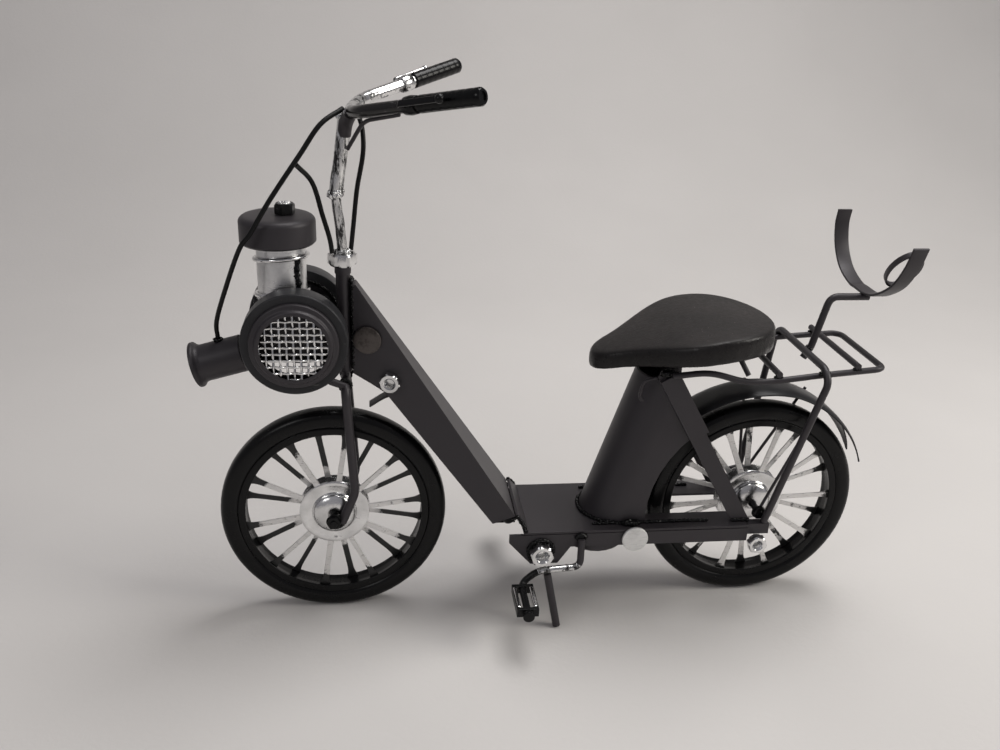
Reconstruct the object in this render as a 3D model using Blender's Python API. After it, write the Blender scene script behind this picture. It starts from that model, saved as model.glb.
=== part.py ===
"""Welded tin model of a front-engined moped that carries a bottle, at its real size.

+X points forward, +Y to the rider's left and +Z up. The sizes below are in millimetres, measured from
the ground, from the middle plane and from the point midway between the wheels; they are turned into
metres when a mesh is made. The object's own origin lies on the ground under the middle of its box.
"""

import math

import bmesh
import bpy
from mathutils import Matrix, Vector

MM = 0.001
GAP = 0.3  # left between pieces that touch
RUNNING = 0.1  # left round a shaft that turns in a hole

# Wheels
WHEEL_RADIUS = 62.5
WHEELBASE = 243.0
AXLE_HEAD_RADIUS = 3.2
TYRE_WIDTH = 13.0
TREAD_FLAT = 6.0
TYRE_DEPTH = 11.0
RIM_DEPTH = 3.0
RIM_WIDTH = 9.0
SPOKES_A_SIDE = 10
SPOKE_WIDTH = 2.8
SPOKE_THICKNESS = 1.0
SPOKE_PLANE = 3.2  # from the wheel's middle plane to the middle of each row of spokes
HUB_FLANGE_RADIUS = 18.5
HUB_DOME_RADIUS = 12.0
HUB_HALF_LENGTH = 9.2
TYRE_STEPS = 44
AXLE_DIAMETER = 4.0

# Steering
STEER_X = 113.5
HEAD_TUBE_DIAMETER = 7.4
STEERER_DIAMETER = 4.0
HEAD_TUBE_FOOT = 147.0
HEAD_TUBE_TOP = 205.0
FORK_ROD = 5.0
FORK_HALF_WIDTH = 12.6
FORK_CROWN_Z = 142.0
FORK_BEND_Z = 80.0
FORK_REACH = 4.0  # how far the straight legs lean back from the steering axis
NUT_ACROSS_FLATS = 13.0
NUT_HEIGHT = 6.5
STEM_DIAMETER = 5.0
STEM_TOP = 278.6
BAR_DIAMETER = 6.2
BAR_HALF_WIDTH = 66.4
BAR_SWEEP = 56.0  # from the front of the bar back to its ends
BAR_RISE = 16.0
GRIP_DIAMETER = 8.0
GRIP_LENGTH = 34.0
GRIP_SIDES = 14
CLAMP_GAP = 1.2  # from the grip to the lever's clamp
CLAMP_WIDTH = 6.8
CABLE_DIAMETER = 2.4

# Engine
DRUM_RADIUS = 26.5
DRUM_WALL = 1.5
DRUM_INNER_Y = 15.0
DRUM_OUTER_Y = 26.5
DRUM_STEPS = 28
BEZEL_HEIGHT = 4.5
BEZEL_FOOT_RADIUS = 22.3
BEZEL_STEP_RADIUS = 19.3
OPENING_RADIUS = 16.8
GRILLE_DEPTH = 0.7  # from the bezel's front down to the grille
DRUM_X = 137.3
DRUM_Z = 171.5
CRANK_DEPTH = 13.0  # below the drums' axis
CRANK_RISE = 14.0
GRILLE_PITCH = 4.25
GRILLE_WIRE = 1.0
CYLINDER_RADIUS = 12.3
CYLINDER_X = 144.0
RING_STEPS = 18
CAP_X = 145.0
CAP_RADIUS = 18.9
CAP_FOOT = 217.0
CAP_HEIGHT = 14.3
CAP_BOLT_FLATS = 9.0
CAP_BOLT_HEIGHT = 5.5
LAMP_RADIUS = 9.8
LAMP_LIP = 2.2
LAMP_FRONT = 190.5
LAMP_FRONT_Z = 151.0
LAMP_LENGTH = 26.0
LAMP_DIP = 15.0  # degrees that its front points down

# Frame
FRAME_SHEET = 1.2
FRAME_NOSE_HALF_WIDTH = 4.2
FRAME_FOOT_HALF_WIDTH = 21.7
FRAME_TOP_X = 107.0
FRAME_TOP_Z = 196.0
FRAME_FOOT_X = 21.5
FRAME_FOOT_Z = 66.5
FRAME_DISC = (101.6, 166.5)  # where its disc and its nut sit, in x and z
FRAME_NUT = (89.6, 144.2)
FLOOR_HALF_WIDTH = 27.0
FLOOR_TOP = 59.0
FLOOR_SHEET = 1.5
FLOOR_FRONT = 17.0
RAIL_THICKNESS = 2.0
RAIL_HEIGHT = 10.0
RAIL_FRONT = 25.0
RAIL_REAR = -113.0
SLOT_HALF_WIDTH = 10.5
BRACKET_DROP = 20.5
SPINDLE_X = 7.0
SPINDLE_Z = 47.0
BRACKET_NUT_FLATS = 12.0
SEAT_BODY_SHEET = 1.5
SEAT_BODY_HALF_WIDTH = 20.0
SEAT_BODY_FOOT_X = -19.0
SEAT_BODY_LEAN = 27.0  # how far its front edge goes back from foot to top
SEAT_BODY_TOP = 146.0
STAY_WIDTH = 9.5
STAY_SHEET = 1.5
ROD_DIAMETER = 4.0

# Seat, guard, rack and bottle cradle
SEAT_LENGTH = 100.5
SEAT_HALF_WIDTH = 40.5
SEAT_NOSE_HALF_WIDTH = 11.0
SEAT_THICKNESS = 9.5
SEAT_SWELL = 2.8  # how much thicker it is behind its middle
SEAT_NOSE_X = -18.5
SEAT_NOSE_Z = 148.0
SEAT_RISE = 17.5
SEAT_WIDEST = 0.57  # share of its length from the nose
SEAT_TAIL_DROP = 1.5
GUARD_CLEARANCE = 10.5
GUARD_TIP_CLEARANCE = 5.5
GUARD_HALF_WIDTH = 12.0
GUARD_WIRE = 1.8
SPLASH_STRIP_WIDTH = 7.6
GUARD_SHEET = 0.8
RACK_Z = 155.5
RACK_REAR = -175.5
RACK_HALF_WIDTH = 29.0
RACK_ROD = 3.4
RACK_STAY_HALF_WIDTH = 36.8
CRADLE_STRAP_WIDTH = 8.5
CRADLE_STRAP_SHEET = 1.4
CRADLE_HALF_WIDTH = 42.5
CRADLE_FLOOR = 190.5
CRADLE_TOP = 226.5
CRADLE_X = -172.5
LOOP_HALF_WIDTH = 8.0

# Pedals and stand
PEDAL_ROD = 4.0
PEDAL_LENGTH = 23.0
PEDAL_WIDTH = 12.0
PEDAL_HEIGHT = 5.0
PEDAL_X = 18.0
PEDAL_Z = 29.0
PEDAL_INNER_Y = 36.0
STAND_DIAMETER = 4.4
STAND_FOOT = (-3.5, 34.0)

FRONT_X = WHEELBASE / 2
REAR_X = -WHEELBASE / 2
DROPOUT_TOP = WHEEL_RADIUS - AXLE_HEAD_RADIUS - GAP
DROPOUT_INNER_Y = SEAT_BODY_HALF_WIDTH + 0.3
CRANK_BACK = STEER_X + HEAD_TUBE_DIAMETER / 2 + 3.0

FINISHES = {
    "black_enamel": ((0.012, 0.012, 0.014), 0.42, 0.0),
    "black_tyre": ((0.010, 0.010, 0.012), 0.35, 0.0),
    "chrome": ((0.80, 0.80, 0.80), 0.18, 1.0),
    "brushed_steel": ((0.62, 0.61, 0.60), 0.35, 1.0),
    "grey_steel": ((0.35, 0.34, 0.34), 0.5, 0.8),
    "black_vinyl": ((0.018, 0.017, 0.017), 0.55, 0.0),
    "black_wire": ((0.010, 0.010, 0.010), 0.5, 0.0),
}


# Helpers that make the scene

def clear_scene():
    for obj in list(bpy.data.objects):
        bpy.data.objects.remove(obj, do_unlink=True)


def make_finishes():
    for name, (colour, roughness, metallic) in FINISHES.items():
        made = bpy.data.materials.new(name)
        made.use_nodes = True
        shader = made.node_tree.nodes["Principled BSDF"]
        shader.inputs["Base Color"].default_value = (*colour, 1.0)
        shader.inputs["Roughness"].default_value = roughness
        shader.inputs["Metallic"].default_value = metallic


def pivot(name, place, parent=None):
    """An empty at a place, which the pieces of one moving body hang from."""
    empty = bpy.data.objects.new(name, None)
    bpy.context.collection.objects.link(empty)
    empty["place"] = place
    origin = Vector(parent["place"]) if parent else Vector((0.0, 0.0, 0.0))
    empty.location = (Vector(place) - origin) * MM
    empty.parent = parent
    return empty


def piece(name, shape, finish, parent, smooth=True):
    """Makes an object of a bmesh drawn in millimetres, in the model's own places."""
    bmesh.ops.remove_doubles(shape, verts=shape.verts, dist=1e-4)
    bmesh.ops.recalc_face_normals(shape, faces=shape.faces)
    mesh = bpy.data.meshes.new(name)
    shape.transform(Matrix.Scale(MM, 4) @ Matrix.Translation(-Vector(parent["place"])))
    shape.to_mesh(mesh)
    shape.free()
    if smooth:
        mesh.shade_smooth()
        mesh.set_sharp_from_angle(angle=math.radians(35))
    mesh.materials.append(bpy.data.materials[finish])
    obj = bpy.data.objects.new(name, mesh)
    bpy.context.collection.objects.link(obj)
    obj.parent = parent
    return obj


def helper(obj):
    obj.hide_render = True
    obj.display_type = "WIRE"
    return obj


def boolean(obj, other, operation):
    modifier = obj.modifiers.new(operation.lower(), "BOOLEAN")
    modifier.object = helper(other)
    modifier.operation = operation
    modifier.solver = "EXACT"
    return obj


def welded(obj, *others):
    for other in others:
        boolean(obj, other, "UNION")
    return obj


# Helpers that draw shapes

def arc(centre, radius, start, end, steps):
    """Points of an arc, with its angles in degrees."""
    turns = [math.radians(start + (end - start) * i / steps) for i in range(steps + 1)]
    return [(centre[0] + radius * math.cos(t), centre[1] + radius * math.sin(t)) for t in turns]


def in_space(a, b, along, axis):
    """A point from two numbers across an axis and one along it."""
    if axis == "X":
        return (along, a, b)
    if axis == "Y":
        return (a, along, b)
    return (a, b, along)


def prism(outline, axis, low, high):
    """A flat outline pushed along an axis.

    An outline across Y holds (x, z), across X (y, z) and across Z (x, y).
    """
    shape = bmesh.new()
    ends = [[shape.verts.new(in_space(a, b, along, axis)) for a, b in outline] for along in (low, high)]
    shape.faces.new(ends[0])
    shape.faces.new(reversed(ends[1]))
    for i in range(len(outline)):
        j = (i + 1) % len(outline)
        shape.faces.new((ends[0][i], ends[0][j], ends[1][j], ends[1][i]))
    return shape


def block(low, high):
    (x0, y0, z0), (x1, y1, z1) = low, high
    return prism([(x0, y0), (x1, y0), (x1, y1), (x0, y1)], "Z", z0, z1)


def turned(profile, axis, centre, steps, ring=False):
    """A profile of (radius, along) points turned about an axis. A ring's profile closes on itself."""
    shape = bmesh.new()
    across = [c for c, name in zip(centre, "XYZ") if name != axis]
    base = centre["XYZ".index(axis)]
    loops = []
    for step in range(steps):
        turn = 2 * math.pi * step / steps
        loops.append([
            shape.verts.new(in_space(across[0] + r * math.cos(turn), across[1] + r * math.sin(turn),
                                     base + h, axis))
            for r, h in profile
        ])
    last = len(profile) if ring else len(profile) - 1
    for step in range(steps):
        here, after = loops[step], loops[(step + 1) % steps]
        for i in range(last):
            j = (i + 1) % len(profile)
            shape.faces.new((here[i], here[j], after[j], after[i]))
    bmesh.ops.remove_doubles(shape, verts=shape.verts, dist=1e-4)
    bmesh.ops.dissolve_degenerate(shape, edges=shape.edges, dist=1e-4)
    return shape


def hexagon(centre, flats, turn=0.0):
    radius = flats / math.sqrt(3)
    return arc(centre, radius, turn, turn + 300.0, 5)


def rounded(points, radius, steps=4):
    """The points of a path with each inner corner rounded off."""
    places = [Vector(p) for p in points]
    path = [places[0]]
    for before, corner, after in zip(places, places[1:], places[2:]):
        back, on = before - corner, after - corner
        reach = min(radius, back.length * 0.48, on.length * 0.48)
        start, end = corner + back.normalized() * reach, corner + on.normalized() * reach
        for i in range(steps + 1):
            t = i / steps
            path.append(start * (1 - t) ** 2 + corner * (2 * t * (1 - t)) + end * t ** 2)
    path.append(places[-1])
    return path


def flowing(points, steps=5):
    """A smooth path through all of the points."""
    places = [Vector(p) for p in points]
    padded = [places[0] * 2 - places[1], *places, places[-1] * 2 - places[-2]]
    path = []
    for a, b, c, d in zip(padded, padded[1:], padded[2:], padded[3:]):
        for i in range(steps):
            t = i / steps
            path.append(0.5 * (2 * b + (c - a) * t + (2 * a - 5 * b + 4 * c - d) * t ** 2
                               + (3 * b - a - 3 * c + d) * t ** 3))
    path.append(places[-1])
    return path


def swept(path, section, side):
    """A closed section of (across, up) offsets carried along a path, with flat ends.

    side is the direction of across at the start; it is carried along without twist.
    """
    path = [Vector(p) for p in path]
    shape = bmesh.new()
    rings = []
    across = Vector(side)
    for i, place in enumerate(path):
        back = (place - path[i - 1]).normalized() if i else (path[1] - place).normalized()
        on = (path[i + 1] - place).normalized() if i + 1 < len(path) else back
        along = (back + on).normalized()
        across = (across - along * across.dot(along)).normalized()
        up = along.cross(across)
        bend = back - on
        stretch = 1.0 / max(math.sqrt(max((1 + back.dot(on)) / 2, 0.0)), 0.5)
        ring = []
        for a, b in section:
            offset = across * a + up * b
            if bend.length > 1e-6:
                into = bend.normalized()
                offset += into * offset.dot(into) * (stretch - 1)
            ring.append(shape.verts.new(place + offset))
        rings.append(ring)
    for before, after in zip(rings, rings[1:]):
        for i in range(len(section)):
            j = (i + 1) % len(section)
            shape.faces.new((before[i], before[j], after[j], after[i]))
    shape.faces.new(rings[0])
    shape.faces.new(reversed(rings[-1]))
    return shape


def round_section(diameter, sides):
    radius, step = diameter / 2, 2 * math.pi / sides
    return [(radius * math.cos(i * step), radius * math.sin(i * step)) for i in range(sides)]


def flat_section(width, thickness):
    w, t = width / 2, thickness / 2
    return [(-w, -t), (w, -t), (w, t), (-w, t)]


def rod(path, diameter, sides=8):
    start = Vector(path[1]) - Vector(path[0])
    side = Vector((0.0, 1.0, 0.0)) if abs(start.normalized().y) < 0.9 else Vector((1.0, 0.0, 0.0))
    return swept(path, round_section(diameter, sides), side)


def mirrored(points):
    return [(x, -y, z) for x, y, z in points]


# Wheels

def tyre(name, x, parent):
    outer, inner = WHEEL_RADIUS, WHEEL_RADIUS - TYRE_DEPTH
    half, flat = TYRE_WIDTH / 2, TREAD_FLAT / 2
    shoulder = TYRE_DEPTH * 0.32
    side = [(outer, flat), (outer - shoulder * 0.35, half * 0.80), (outer - shoulder, half),
            (inner + shoulder, half),
            (inner, half * 0.72)]
    profile = side + [(r, -h) for r, h in reversed(side)]
    return piece(name, turned(profile, "Y", (x, 0, WHEEL_RADIUS), TYRE_STEPS, ring=True), "black_tyre",
                 parent)


def spoke_row(x, plane, turn):
    """A flange with straight flat spokes out to the rim."""
    root, tip = HUB_FLANGE_RADIUS, WHEEL_RADIUS - TYRE_DEPTH - GAP - RIM_DEPTH * 0.5
    outline = []
    for i in range(SPOKES_A_SIDE):
        middle = math.radians(turn + 360.0 * i / SPOKES_A_SIDE)
        lean = math.asin(SPOKE_WIDTH / 2 / root)
        lean_tip = math.asin(SPOKE_WIDTH / 2 / tip)
        for radius, angle in ((root, -lean), (tip, -lean_tip), (tip, lean_tip), (root, lean)):
            outline.append((x + radius * math.cos(middle + angle),
                            WHEEL_RADIUS + radius * math.sin(middle + angle)))
    return prism(outline, "Y", plane - SPOKE_THICKNESS / 2, plane + SPOKE_THICKNESS / 2)


def wheel(name, x, parent):
    """Hub, two rows of spokes and rim, welded into one."""
    bore = AXLE_DIAMETER / 2 + RUNNING
    low, dome = SPOKE_PLANE + 1.2, HUB_DOME_RADIUS
    side = [(0.0, HUB_HALF_LENGTH), (dome * 0.5, HUB_HALF_LENGTH - 0.3), (dome * 0.85, HUB_HALF_LENGTH - 1.8),
            (dome, low), (dome, 0.0)]
    profile = side + [(r, -h) for r, h in reversed(side[:-1])]
    hub = piece(name, turned(profile, "Y", (x, 0, WHEEL_RADIUS), 24), "brushed_steel", parent)
    left = piece(name + "_left_row", spoke_row(x, SPOKE_PLANE, 0.0), "brushed_steel", parent)
    right = piece(name + "_right_row", spoke_row(x, -SPOKE_PLANE, 180.0 / SPOKES_A_SIDE), "brushed_steel",
                  parent)
    outer = WHEEL_RADIUS - TYRE_DEPTH - GAP
    inner, half = outer - RIM_DEPTH, RIM_WIDTH / 2
    band = [(outer, half), (outer, -half), (inner, -half), (inner, half)]
    rim = piece(name + "_rim", turned(band, "Y", (x, 0, WHEEL_RADIUS), TYRE_STEPS, ring=True), "black_tyre",
                parent)
    welded(hub, left, right, rim)
    reach = HUB_HALF_LENGTH + 3.0
    hole = turned([(0, -reach), (bore, -reach), (bore, reach), (0, reach)], "Y", (x, 0, WHEEL_RADIUS), 24)
    return boolean(hub, piece(name + "_bore", hole, "brushed_steel", parent), "DIFFERENCE")


def axle(name, x, half_length, head, parent):
    radius = AXLE_DIAMETER / 2
    side = [(0.0, half_length), (head, half_length), (head, half_length - 2.5), (radius, half_length - 2.5)]
    profile = side + [(r, -h) for r, h in reversed(side)]
    return piece(name, turned(profile, "Y", (x, 0, WHEEL_RADIUS), 16), "black_enamel", parent)


# Steering and front end

def make_fork(parent):
    lean_x = STEER_X - FORK_REACH
    foot = (FRONT_X - AXLE_DIAMETER / 2 - FORK_ROD / 2, FORK_HALF_WIDTH, WHEEL_RADIUS - 1.5)
    half = [foot, (lean_x + 3.0, FORK_HALF_WIDTH, FORK_BEND_Z - 8.0), (lean_x, FORK_HALF_WIDTH, FORK_BEND_Z),
            (STEER_X, FORK_HALF_WIDTH, FORK_CROWN_Z)]
    path = rounded(half + mirrored(reversed(half)), 6.0)
    legs = piece("fork", rod(path, FORK_ROD, 8), "black_enamel", parent)
    top = HEAD_TUBE_TOP + GAP + 1.0
    radius = STEERER_DIAMETER / 2
    profile = [(0, FORK_CROWN_Z), (radius, FORK_CROWN_Z), (radius, top), (0, top)]
    steerer = turned(profile, "Z", (STEER_X, 0, 0), 12)
    legs = welded(legs, piece("steerer", steerer, "black_enamel", parent))
    strut_x, strut_y = CRANK_BACK + 4.0, FORK_HALF_WIDTH - 3.0
    for side, name in ((1, "left_strut"), (-1, "right_strut")):
        route = [(STEER_X, side * strut_y, FORK_CROWN_Z), (strut_x, side * strut_y, FORK_CROWN_Z + 4.0),
                 (strut_x, side * strut_y, DRUM_Z - CRANK_DEPTH - GAP)]
        welded(legs, piece(name, rod(rounded(route, 5.0), FORK_ROD - 1.0, 8), "black_enamel", parent))
    return legs


def make_head_tube(parent):
    outer, bore = HEAD_TUBE_DIAMETER / 2, STEERER_DIAMETER / 2 + RUNNING
    collar = 0.5
    profile = [(bore, HEAD_TUBE_FOOT), (outer, HEAD_TUBE_FOOT), (outer, HEAD_TUBE_TOP - 4),
               (outer + collar, HEAD_TUBE_TOP - 4), (outer + collar, HEAD_TUBE_TOP), (bore, HEAD_TUBE_TOP)]
    return piece("head_tube", turned(profile, "Z", (STEER_X, 0, 0), 20, ring=True), "black_enamel", parent)


def make_stem(parent):
    foot = HEAD_TUBE_TOP + GAP
    nut_top = foot + NUT_HEIGHT
    nut = piece("stem_nut", prism(hexagon((STEER_X, 0), NUT_ACROSS_FLATS), "Z", foot, nut_top), "chrome",
                parent, False)
    hole = STEERER_DIAMETER / 2 + GAP
    bore = turned([(0, -5), (hole, -5), (hole, 1.5), (0, 1.5)], "Z", (STEER_X, 0, foot), 12)
    boolean(nut, piece("stem_nut_bore", bore, "chrome", parent), "DIFFERENCE")
    path = flowing([(STEER_X, 0, nut_top + GAP), (STEER_X + 0.8, 0, 225), (STEER_X + 2.3, 0, 241),
                    (STEER_X, 0, 257),
                    (STEER_X - 3.0, 0, STEM_TOP)], 3)
    lower = piece("stem", rod(path, STEM_DIAMETER, 10), "brushed_steel", parent)
    upper = piece("stem_sleeve", rod(path[6:], STEM_DIAMETER + 1.8, 10), "brushed_steel", parent)
    return welded(lower, upper)


def bar_path():
    front_z = STEM_TOP + BAR_DIAMETER / 2
    shoulder = (STEER_X - 10.5, 22.0, front_z + 2.5)
    end = (STEER_X - 6.0 - BAR_SWEEP, BAR_HALF_WIDTH, front_z + BAR_RISE)
    return front_z, shoulder, end


def along(a, b, distance):
    """The point at a distance from b towards a."""
    a, b = Vector(a), Vector(b)
    return b + (a - b).normalized() * distance


def on_side(place, side):
    """A place drawn for the left side, or its mirror image for the right one."""
    return Vector((place[0], side * place[1], place[2]))


def make_bar(parent):
    front_z, shoulder, end = bar_path()
    grip_start = along(shoulder, end, GRIP_LENGTH)
    stub = along(shoulder, end, GRIP_LENGTH * 0.6)
    half = [tuple(stub), shoulder, (STEER_X - 6.0, 7.0, front_z)]
    path = rounded(half + mirrored(reversed(half)), 12.0, 5)
    bar = piece("handlebar", rod(path, BAR_DIAMETER, 8), "chrome", parent)
    for side, name in ((1, "left_grip"), (-1, "right_grip")):
        start, tip, inside = (on_side(p, side) for p in (grip_start, end, stub))
        direction = tip - start
        grip = swept([start, tip], round_section(GRIP_DIAMETER, GRIP_SIDES), (0, 0, 1))
        made = piece(name, grip, "black_enamel", parent)
        mouth, bottom = start - direction * 0.1, inside + direction.normalized() * GAP
        socket = swept([mouth, bottom], round_section(BAR_DIAMETER + 2 * GAP, GRIP_SIDES), (0, 0, 1))
        boolean(made, piece(name + "_socket", socket, "black_enamel", parent), "DIFFERENCE")
    return bar


def make_levers(parent):
    """A clamp beside each grip with a lever that runs out along it."""
    _, shoulder, end = bar_path()
    for side, name in ((1, "left_lever"), (-1, "right_lever")):
        inner = on_side(along(shoulder, end, GRIP_LENGTH + CLAMP_GAP + CLAMP_WIDTH), side)
        outer = on_side(along(shoulder, end, GRIP_LENGTH + CLAMP_GAP), side)
        clamp = swept([inner, outer], round_section(GRIP_DIAMETER, 12), (0, 0, 1))
        made = piece(name, clamp, "chrome", parent)
        forward = Vector((1.0, side * 0.5, 0.0)).normalized()
        lift = Vector((0, 0, 0.8))
        start = (inner + outer) / 2
        direction = (outer - inner).normalized()
        reach = GRIP_DIAMETER / 2 + 3.4
        path = rounded([start, start + forward * reach + lift, start + forward * (reach + 0.6) + lift
                        + direction * (GRIP_LENGTH * 0.72)], 3.0)
        blade = swept(path, flat_section(3.0, 1.4), (0, 0, 1))
        welded(made, piece(name + "_blade", blade, "chrome", parent))
        ends = [inner - direction * 3, outer + direction * 3]
        bore = swept(ends, round_section(BAR_DIAMETER + 2 * GAP, 12), (0, 0, 1))
        boolean(made, piece(name + "_bore", bore, "chrome", parent), "DIFFERENCE")


def make_cables(parent):
    """Three stiff wires, held at both ends."""
    front_z = bar_path()[0]
    bar_front = STEER_X - 6.0 + BAR_DIAMETER / 2 + 2 * GAP
    nut_top = HEAD_TUBE_TOP + NUT_HEIGHT + 3 * GAP
    dip = math.radians(LAMP_DIP)
    lamp_x = 178.0
    clear = (LAMP_RADIUS + CABLE_DIAMETER / 2) / math.cos(dip)
    lamp_top = LAMP_FRONT_Z + (LAMP_FRONT - lamp_x) * math.tan(dip) + clear
    front = [(bar_front, 5.0, front_z + 1.5), (121.5, 14.0, 277.0), (131.0, 20.0, 264.0),
             (145.6, 21.5, 243.0),
             (155.5, 22.5, 227.0), (161.5, 20.0, 218.4), (171.0, 10.0, 195.0), (177.5, 3.0, 176.0),
             (lamp_x, 0.0, lamp_top - 0.6)]
    left = [(133.2, 18.8, 259.2), (126.7, 6.0, 248.0), (122.5, 4.5, 232.0), (119.4, 4.0, 220.0),
            (118.4, 3.4, nut_top)]
    right = [(104.4, -12.0, front_z - 3.4), (102.4, -8.0, 271.0), (102.4, -5.0, 260.0), (105.6, -4.0, 243.0),
             (107.6, -3.5, 226.0), (109.2, -2.6, nut_top)]
    for name, route in (("front_cable", front), ("left_cable", left), ("right_cable", right)):
        piece(name, rod(flowing(route, 4), CABLE_DIAMETER, 7), "black_wire", parent)


def make_front_axle(parent):
    return axle("front_axle", FRONT_X, FORK_HALF_WIDTH + FORK_ROD / 2 + 2.8, 3.4, parent)


# Engine

def make_drums(parent):
    """A pan on each side with a raised bezel, open to the outside through a wire grille."""
    face, front = DRUM_OUTER_Y, DRUM_OUTER_Y + BEZEL_HEIGHT
    outer, inner = DRUM_RADIUS, DRUM_RADIUS - DRUM_WALL
    foot, step, opening = BEZEL_FOOT_RADIUS, BEZEL_STEP_RADIUS, OPENING_RADIUS
    seat, step_y = opening + 0.7, face + BEZEL_HEIGHT * 0.5
    profile = [(outer, DRUM_INNER_Y), (outer, face - 1.0), (outer - 1.0, face), (foot, face),
               (foot - 0.4, step_y),
               (step, step_y + 0.3), (step - 0.5, front), (opening, front), (opening, front - GRILLE_DEPTH),
               (seat, front - GRILLE_DEPTH), (seat, step_y - 1.0), (foot - 1.6, step_y - 1.4),
               (foot - 1.2, face - DRUM_WALL), (inner, face - DRUM_WALL), (inner, DRUM_INNER_Y + DRUM_WALL),
               (inner - 5.0, DRUM_INNER_Y + DRUM_WALL), (inner - 5.0, DRUM_INNER_Y)]
    plane = front - GRILLE_DEPTH - GAP - GRILLE_WIRE / 2
    for side, name in ((1, "left"), (-1, "right")):
        turned_side = [(radius, side * y) for radius, y in profile]
        pan = turned(turned_side, "Y", (DRUM_X, 0, DRUM_Z), DRUM_STEPS, ring=True)
        piece(name + "_drum", pan, "black_enamel", parent)
        make_grille(name + "_grille", side * plane, parent)


def make_grille(name, plane, parent):
    """A round disc of square wire mesh."""
    radius = OPENING_RADIUS + 0.4
    half = GRILLE_WIRE / 2
    profile = [(0, -half), (radius, -half), (radius, half), (0, half)]
    disc = piece(name, turned(profile, "Y", (DRUM_X, plane, DRUM_Z), DRUM_STEPS), "chrome", parent, False)
    holes = bmesh.new()
    count = int(radius / GRILLE_PITCH)
    opening = (GRILLE_PITCH - GRILLE_WIRE) / 2
    for i in range(-count, count + 1):
        for k in range(-count, count + 1):
            x, z = i * GRILLE_PITCH, k * GRILLE_PITCH
            if math.hypot(abs(x) + opening, abs(z) + opening) > radius - 0.8:
                continue
            place = Matrix.Translation((DRUM_X + x, plane, DRUM_Z + z))
            size = Matrix.Diagonal((2 * opening, 3 * GRILLE_WIRE, 2 * opening, 1.0))
            bmesh.ops.create_cube(holes, size=1.0, matrix=place @ size)
    boolean(disc, piece(name + "_holes", holes, "chrome", parent, False), "DIFFERENCE")


def make_crankcase(parent):
    """The middle of the engine, between the drums and in front of the steering."""
    half = DRUM_INNER_Y - GAP
    back, front = CRANK_BACK, CYLINDER_X + 13.0
    low, high, corner = DRUM_Z - CRANK_DEPTH, DRUM_Z + CRANK_RISE, 6.0
    left, right = back + corner, front - corner
    outline = arc((right, high - corner), corner, 0, 90, 4)
    outline += arc((left, high - corner), corner, 90, 180, 4)
    outline += arc((left, low + corner), corner, 180, 270, 4)
    outline += arc((right, low + corner), corner, 270, 360, 4)
    case = piece("crankcase", prism(outline, "Y", -half, half), "black_enamel", parent)
    dip = math.radians(LAMP_DIP)
    axis = Vector((-math.cos(dip), 0, math.sin(dip)))
    lamp_back = Vector((LAMP_FRONT, 0, LAMP_FRONT_Z)) + axis * (LAMP_LENGTH + GAP)
    bracket = rod([lamp_back, lamp_back + axis * 16.0], FORK_ROD - 1.0, 8)
    return welded(case, piece("lamp_bracket", bracket, "black_enamel", parent))


def make_cylinder(parent):
    foot = DRUM_Z + CRANK_RISE + GAP
    top = CAP_FOOT - GAP
    profile = [(0, foot), (CYLINDER_RADIUS + 1.2, foot), (CYLINDER_RADIUS + 1.2, foot + 2.5),
               (CYLINDER_RADIUS, foot + 3.5), (CYLINDER_RADIUS, top), (0, top)]
    body = piece("cylinder", turned(profile, "Z", (CYLINDER_X, 0, 0), 28), "brushed_steel", parent)
    rings = []
    for level, height in enumerate((foot + 5.5, top - 7.0)):
        start, span, tilt = 130.0, 310.0, 1.8
        reach = CYLINDER_RADIUS + 0.5
        path = []
        for i in range(RING_STEPS + 1):
            turn = math.radians(start + span * i / RING_STEPS)
            path.append((CYLINDER_X + reach * math.cos(turn), reach * math.sin(turn),
                         height + tilt * math.sin(turn - 0.6)))
        rings.append(piece(f"cylinder_ring_{level}", rod(path, 2.2, 6), "chrome", parent))
    return welded(body, *rings)


def make_cap(parent):
    top = CAP_FOOT + CAP_HEIGHT
    profile = [(0, CAP_FOOT), (CAP_RADIUS - 1.5, CAP_FOOT), (CAP_RADIUS, CAP_FOOT + 1.5),
               (CAP_RADIUS, top - 4.5),
               (CAP_RADIUS - 1.4, top - 1.8), (CAP_RADIUS - 4.2, top), (0, top)]
    piece("engine_cap", turned(profile, "Z", (CAP_X, 0, 0), 32), "black_enamel", parent)
    bolt = prism(hexagon((CAP_X - 4.0, 0), CAP_BOLT_FLATS, 20.0), "Z", top + GAP, top + CAP_BOLT_HEIGHT)
    piece("cap_bolt", bolt, "black_enamel", parent, False)


def make_lamp(parent):
    """A short tube with a flanged mouth, its front dipped towards the ground."""
    radius, flange = LAMP_RADIUS, LAMP_RADIUS + LAMP_LIP
    profile = [(0, -LAMP_LENGTH), (radius, -LAMP_LENGTH), (radius, -5.0), (radius + 0.4, -4.0),
               (flange, -2.5),
               (flange, 0.0), (flange - 1.6, 0.0), (radius - 1.4, -4.0), (0, -4.0)]
    shape = turned(profile, "X", (0, 0, 0), 28)
    dip = Matrix.Rotation(math.radians(LAMP_DIP), 4, "Y")
    shape.transform(Matrix.Translation((LAMP_FRONT, 0, LAMP_FRONT_Z)) @ dip)
    return piece("headlamp", shape, "black_enamel", parent)


# Frame

def frame_half_width(x):
    share = (FRAME_TOP_X + 2.5 - x) / (FRAME_TOP_X + 2.5 - FRAME_FOOT_X)
    return FRAME_NOSE_HALF_WIDTH + (FRAME_FOOT_HALF_WIDTH - FRAME_NOSE_HALF_WIDTH) * share


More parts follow.
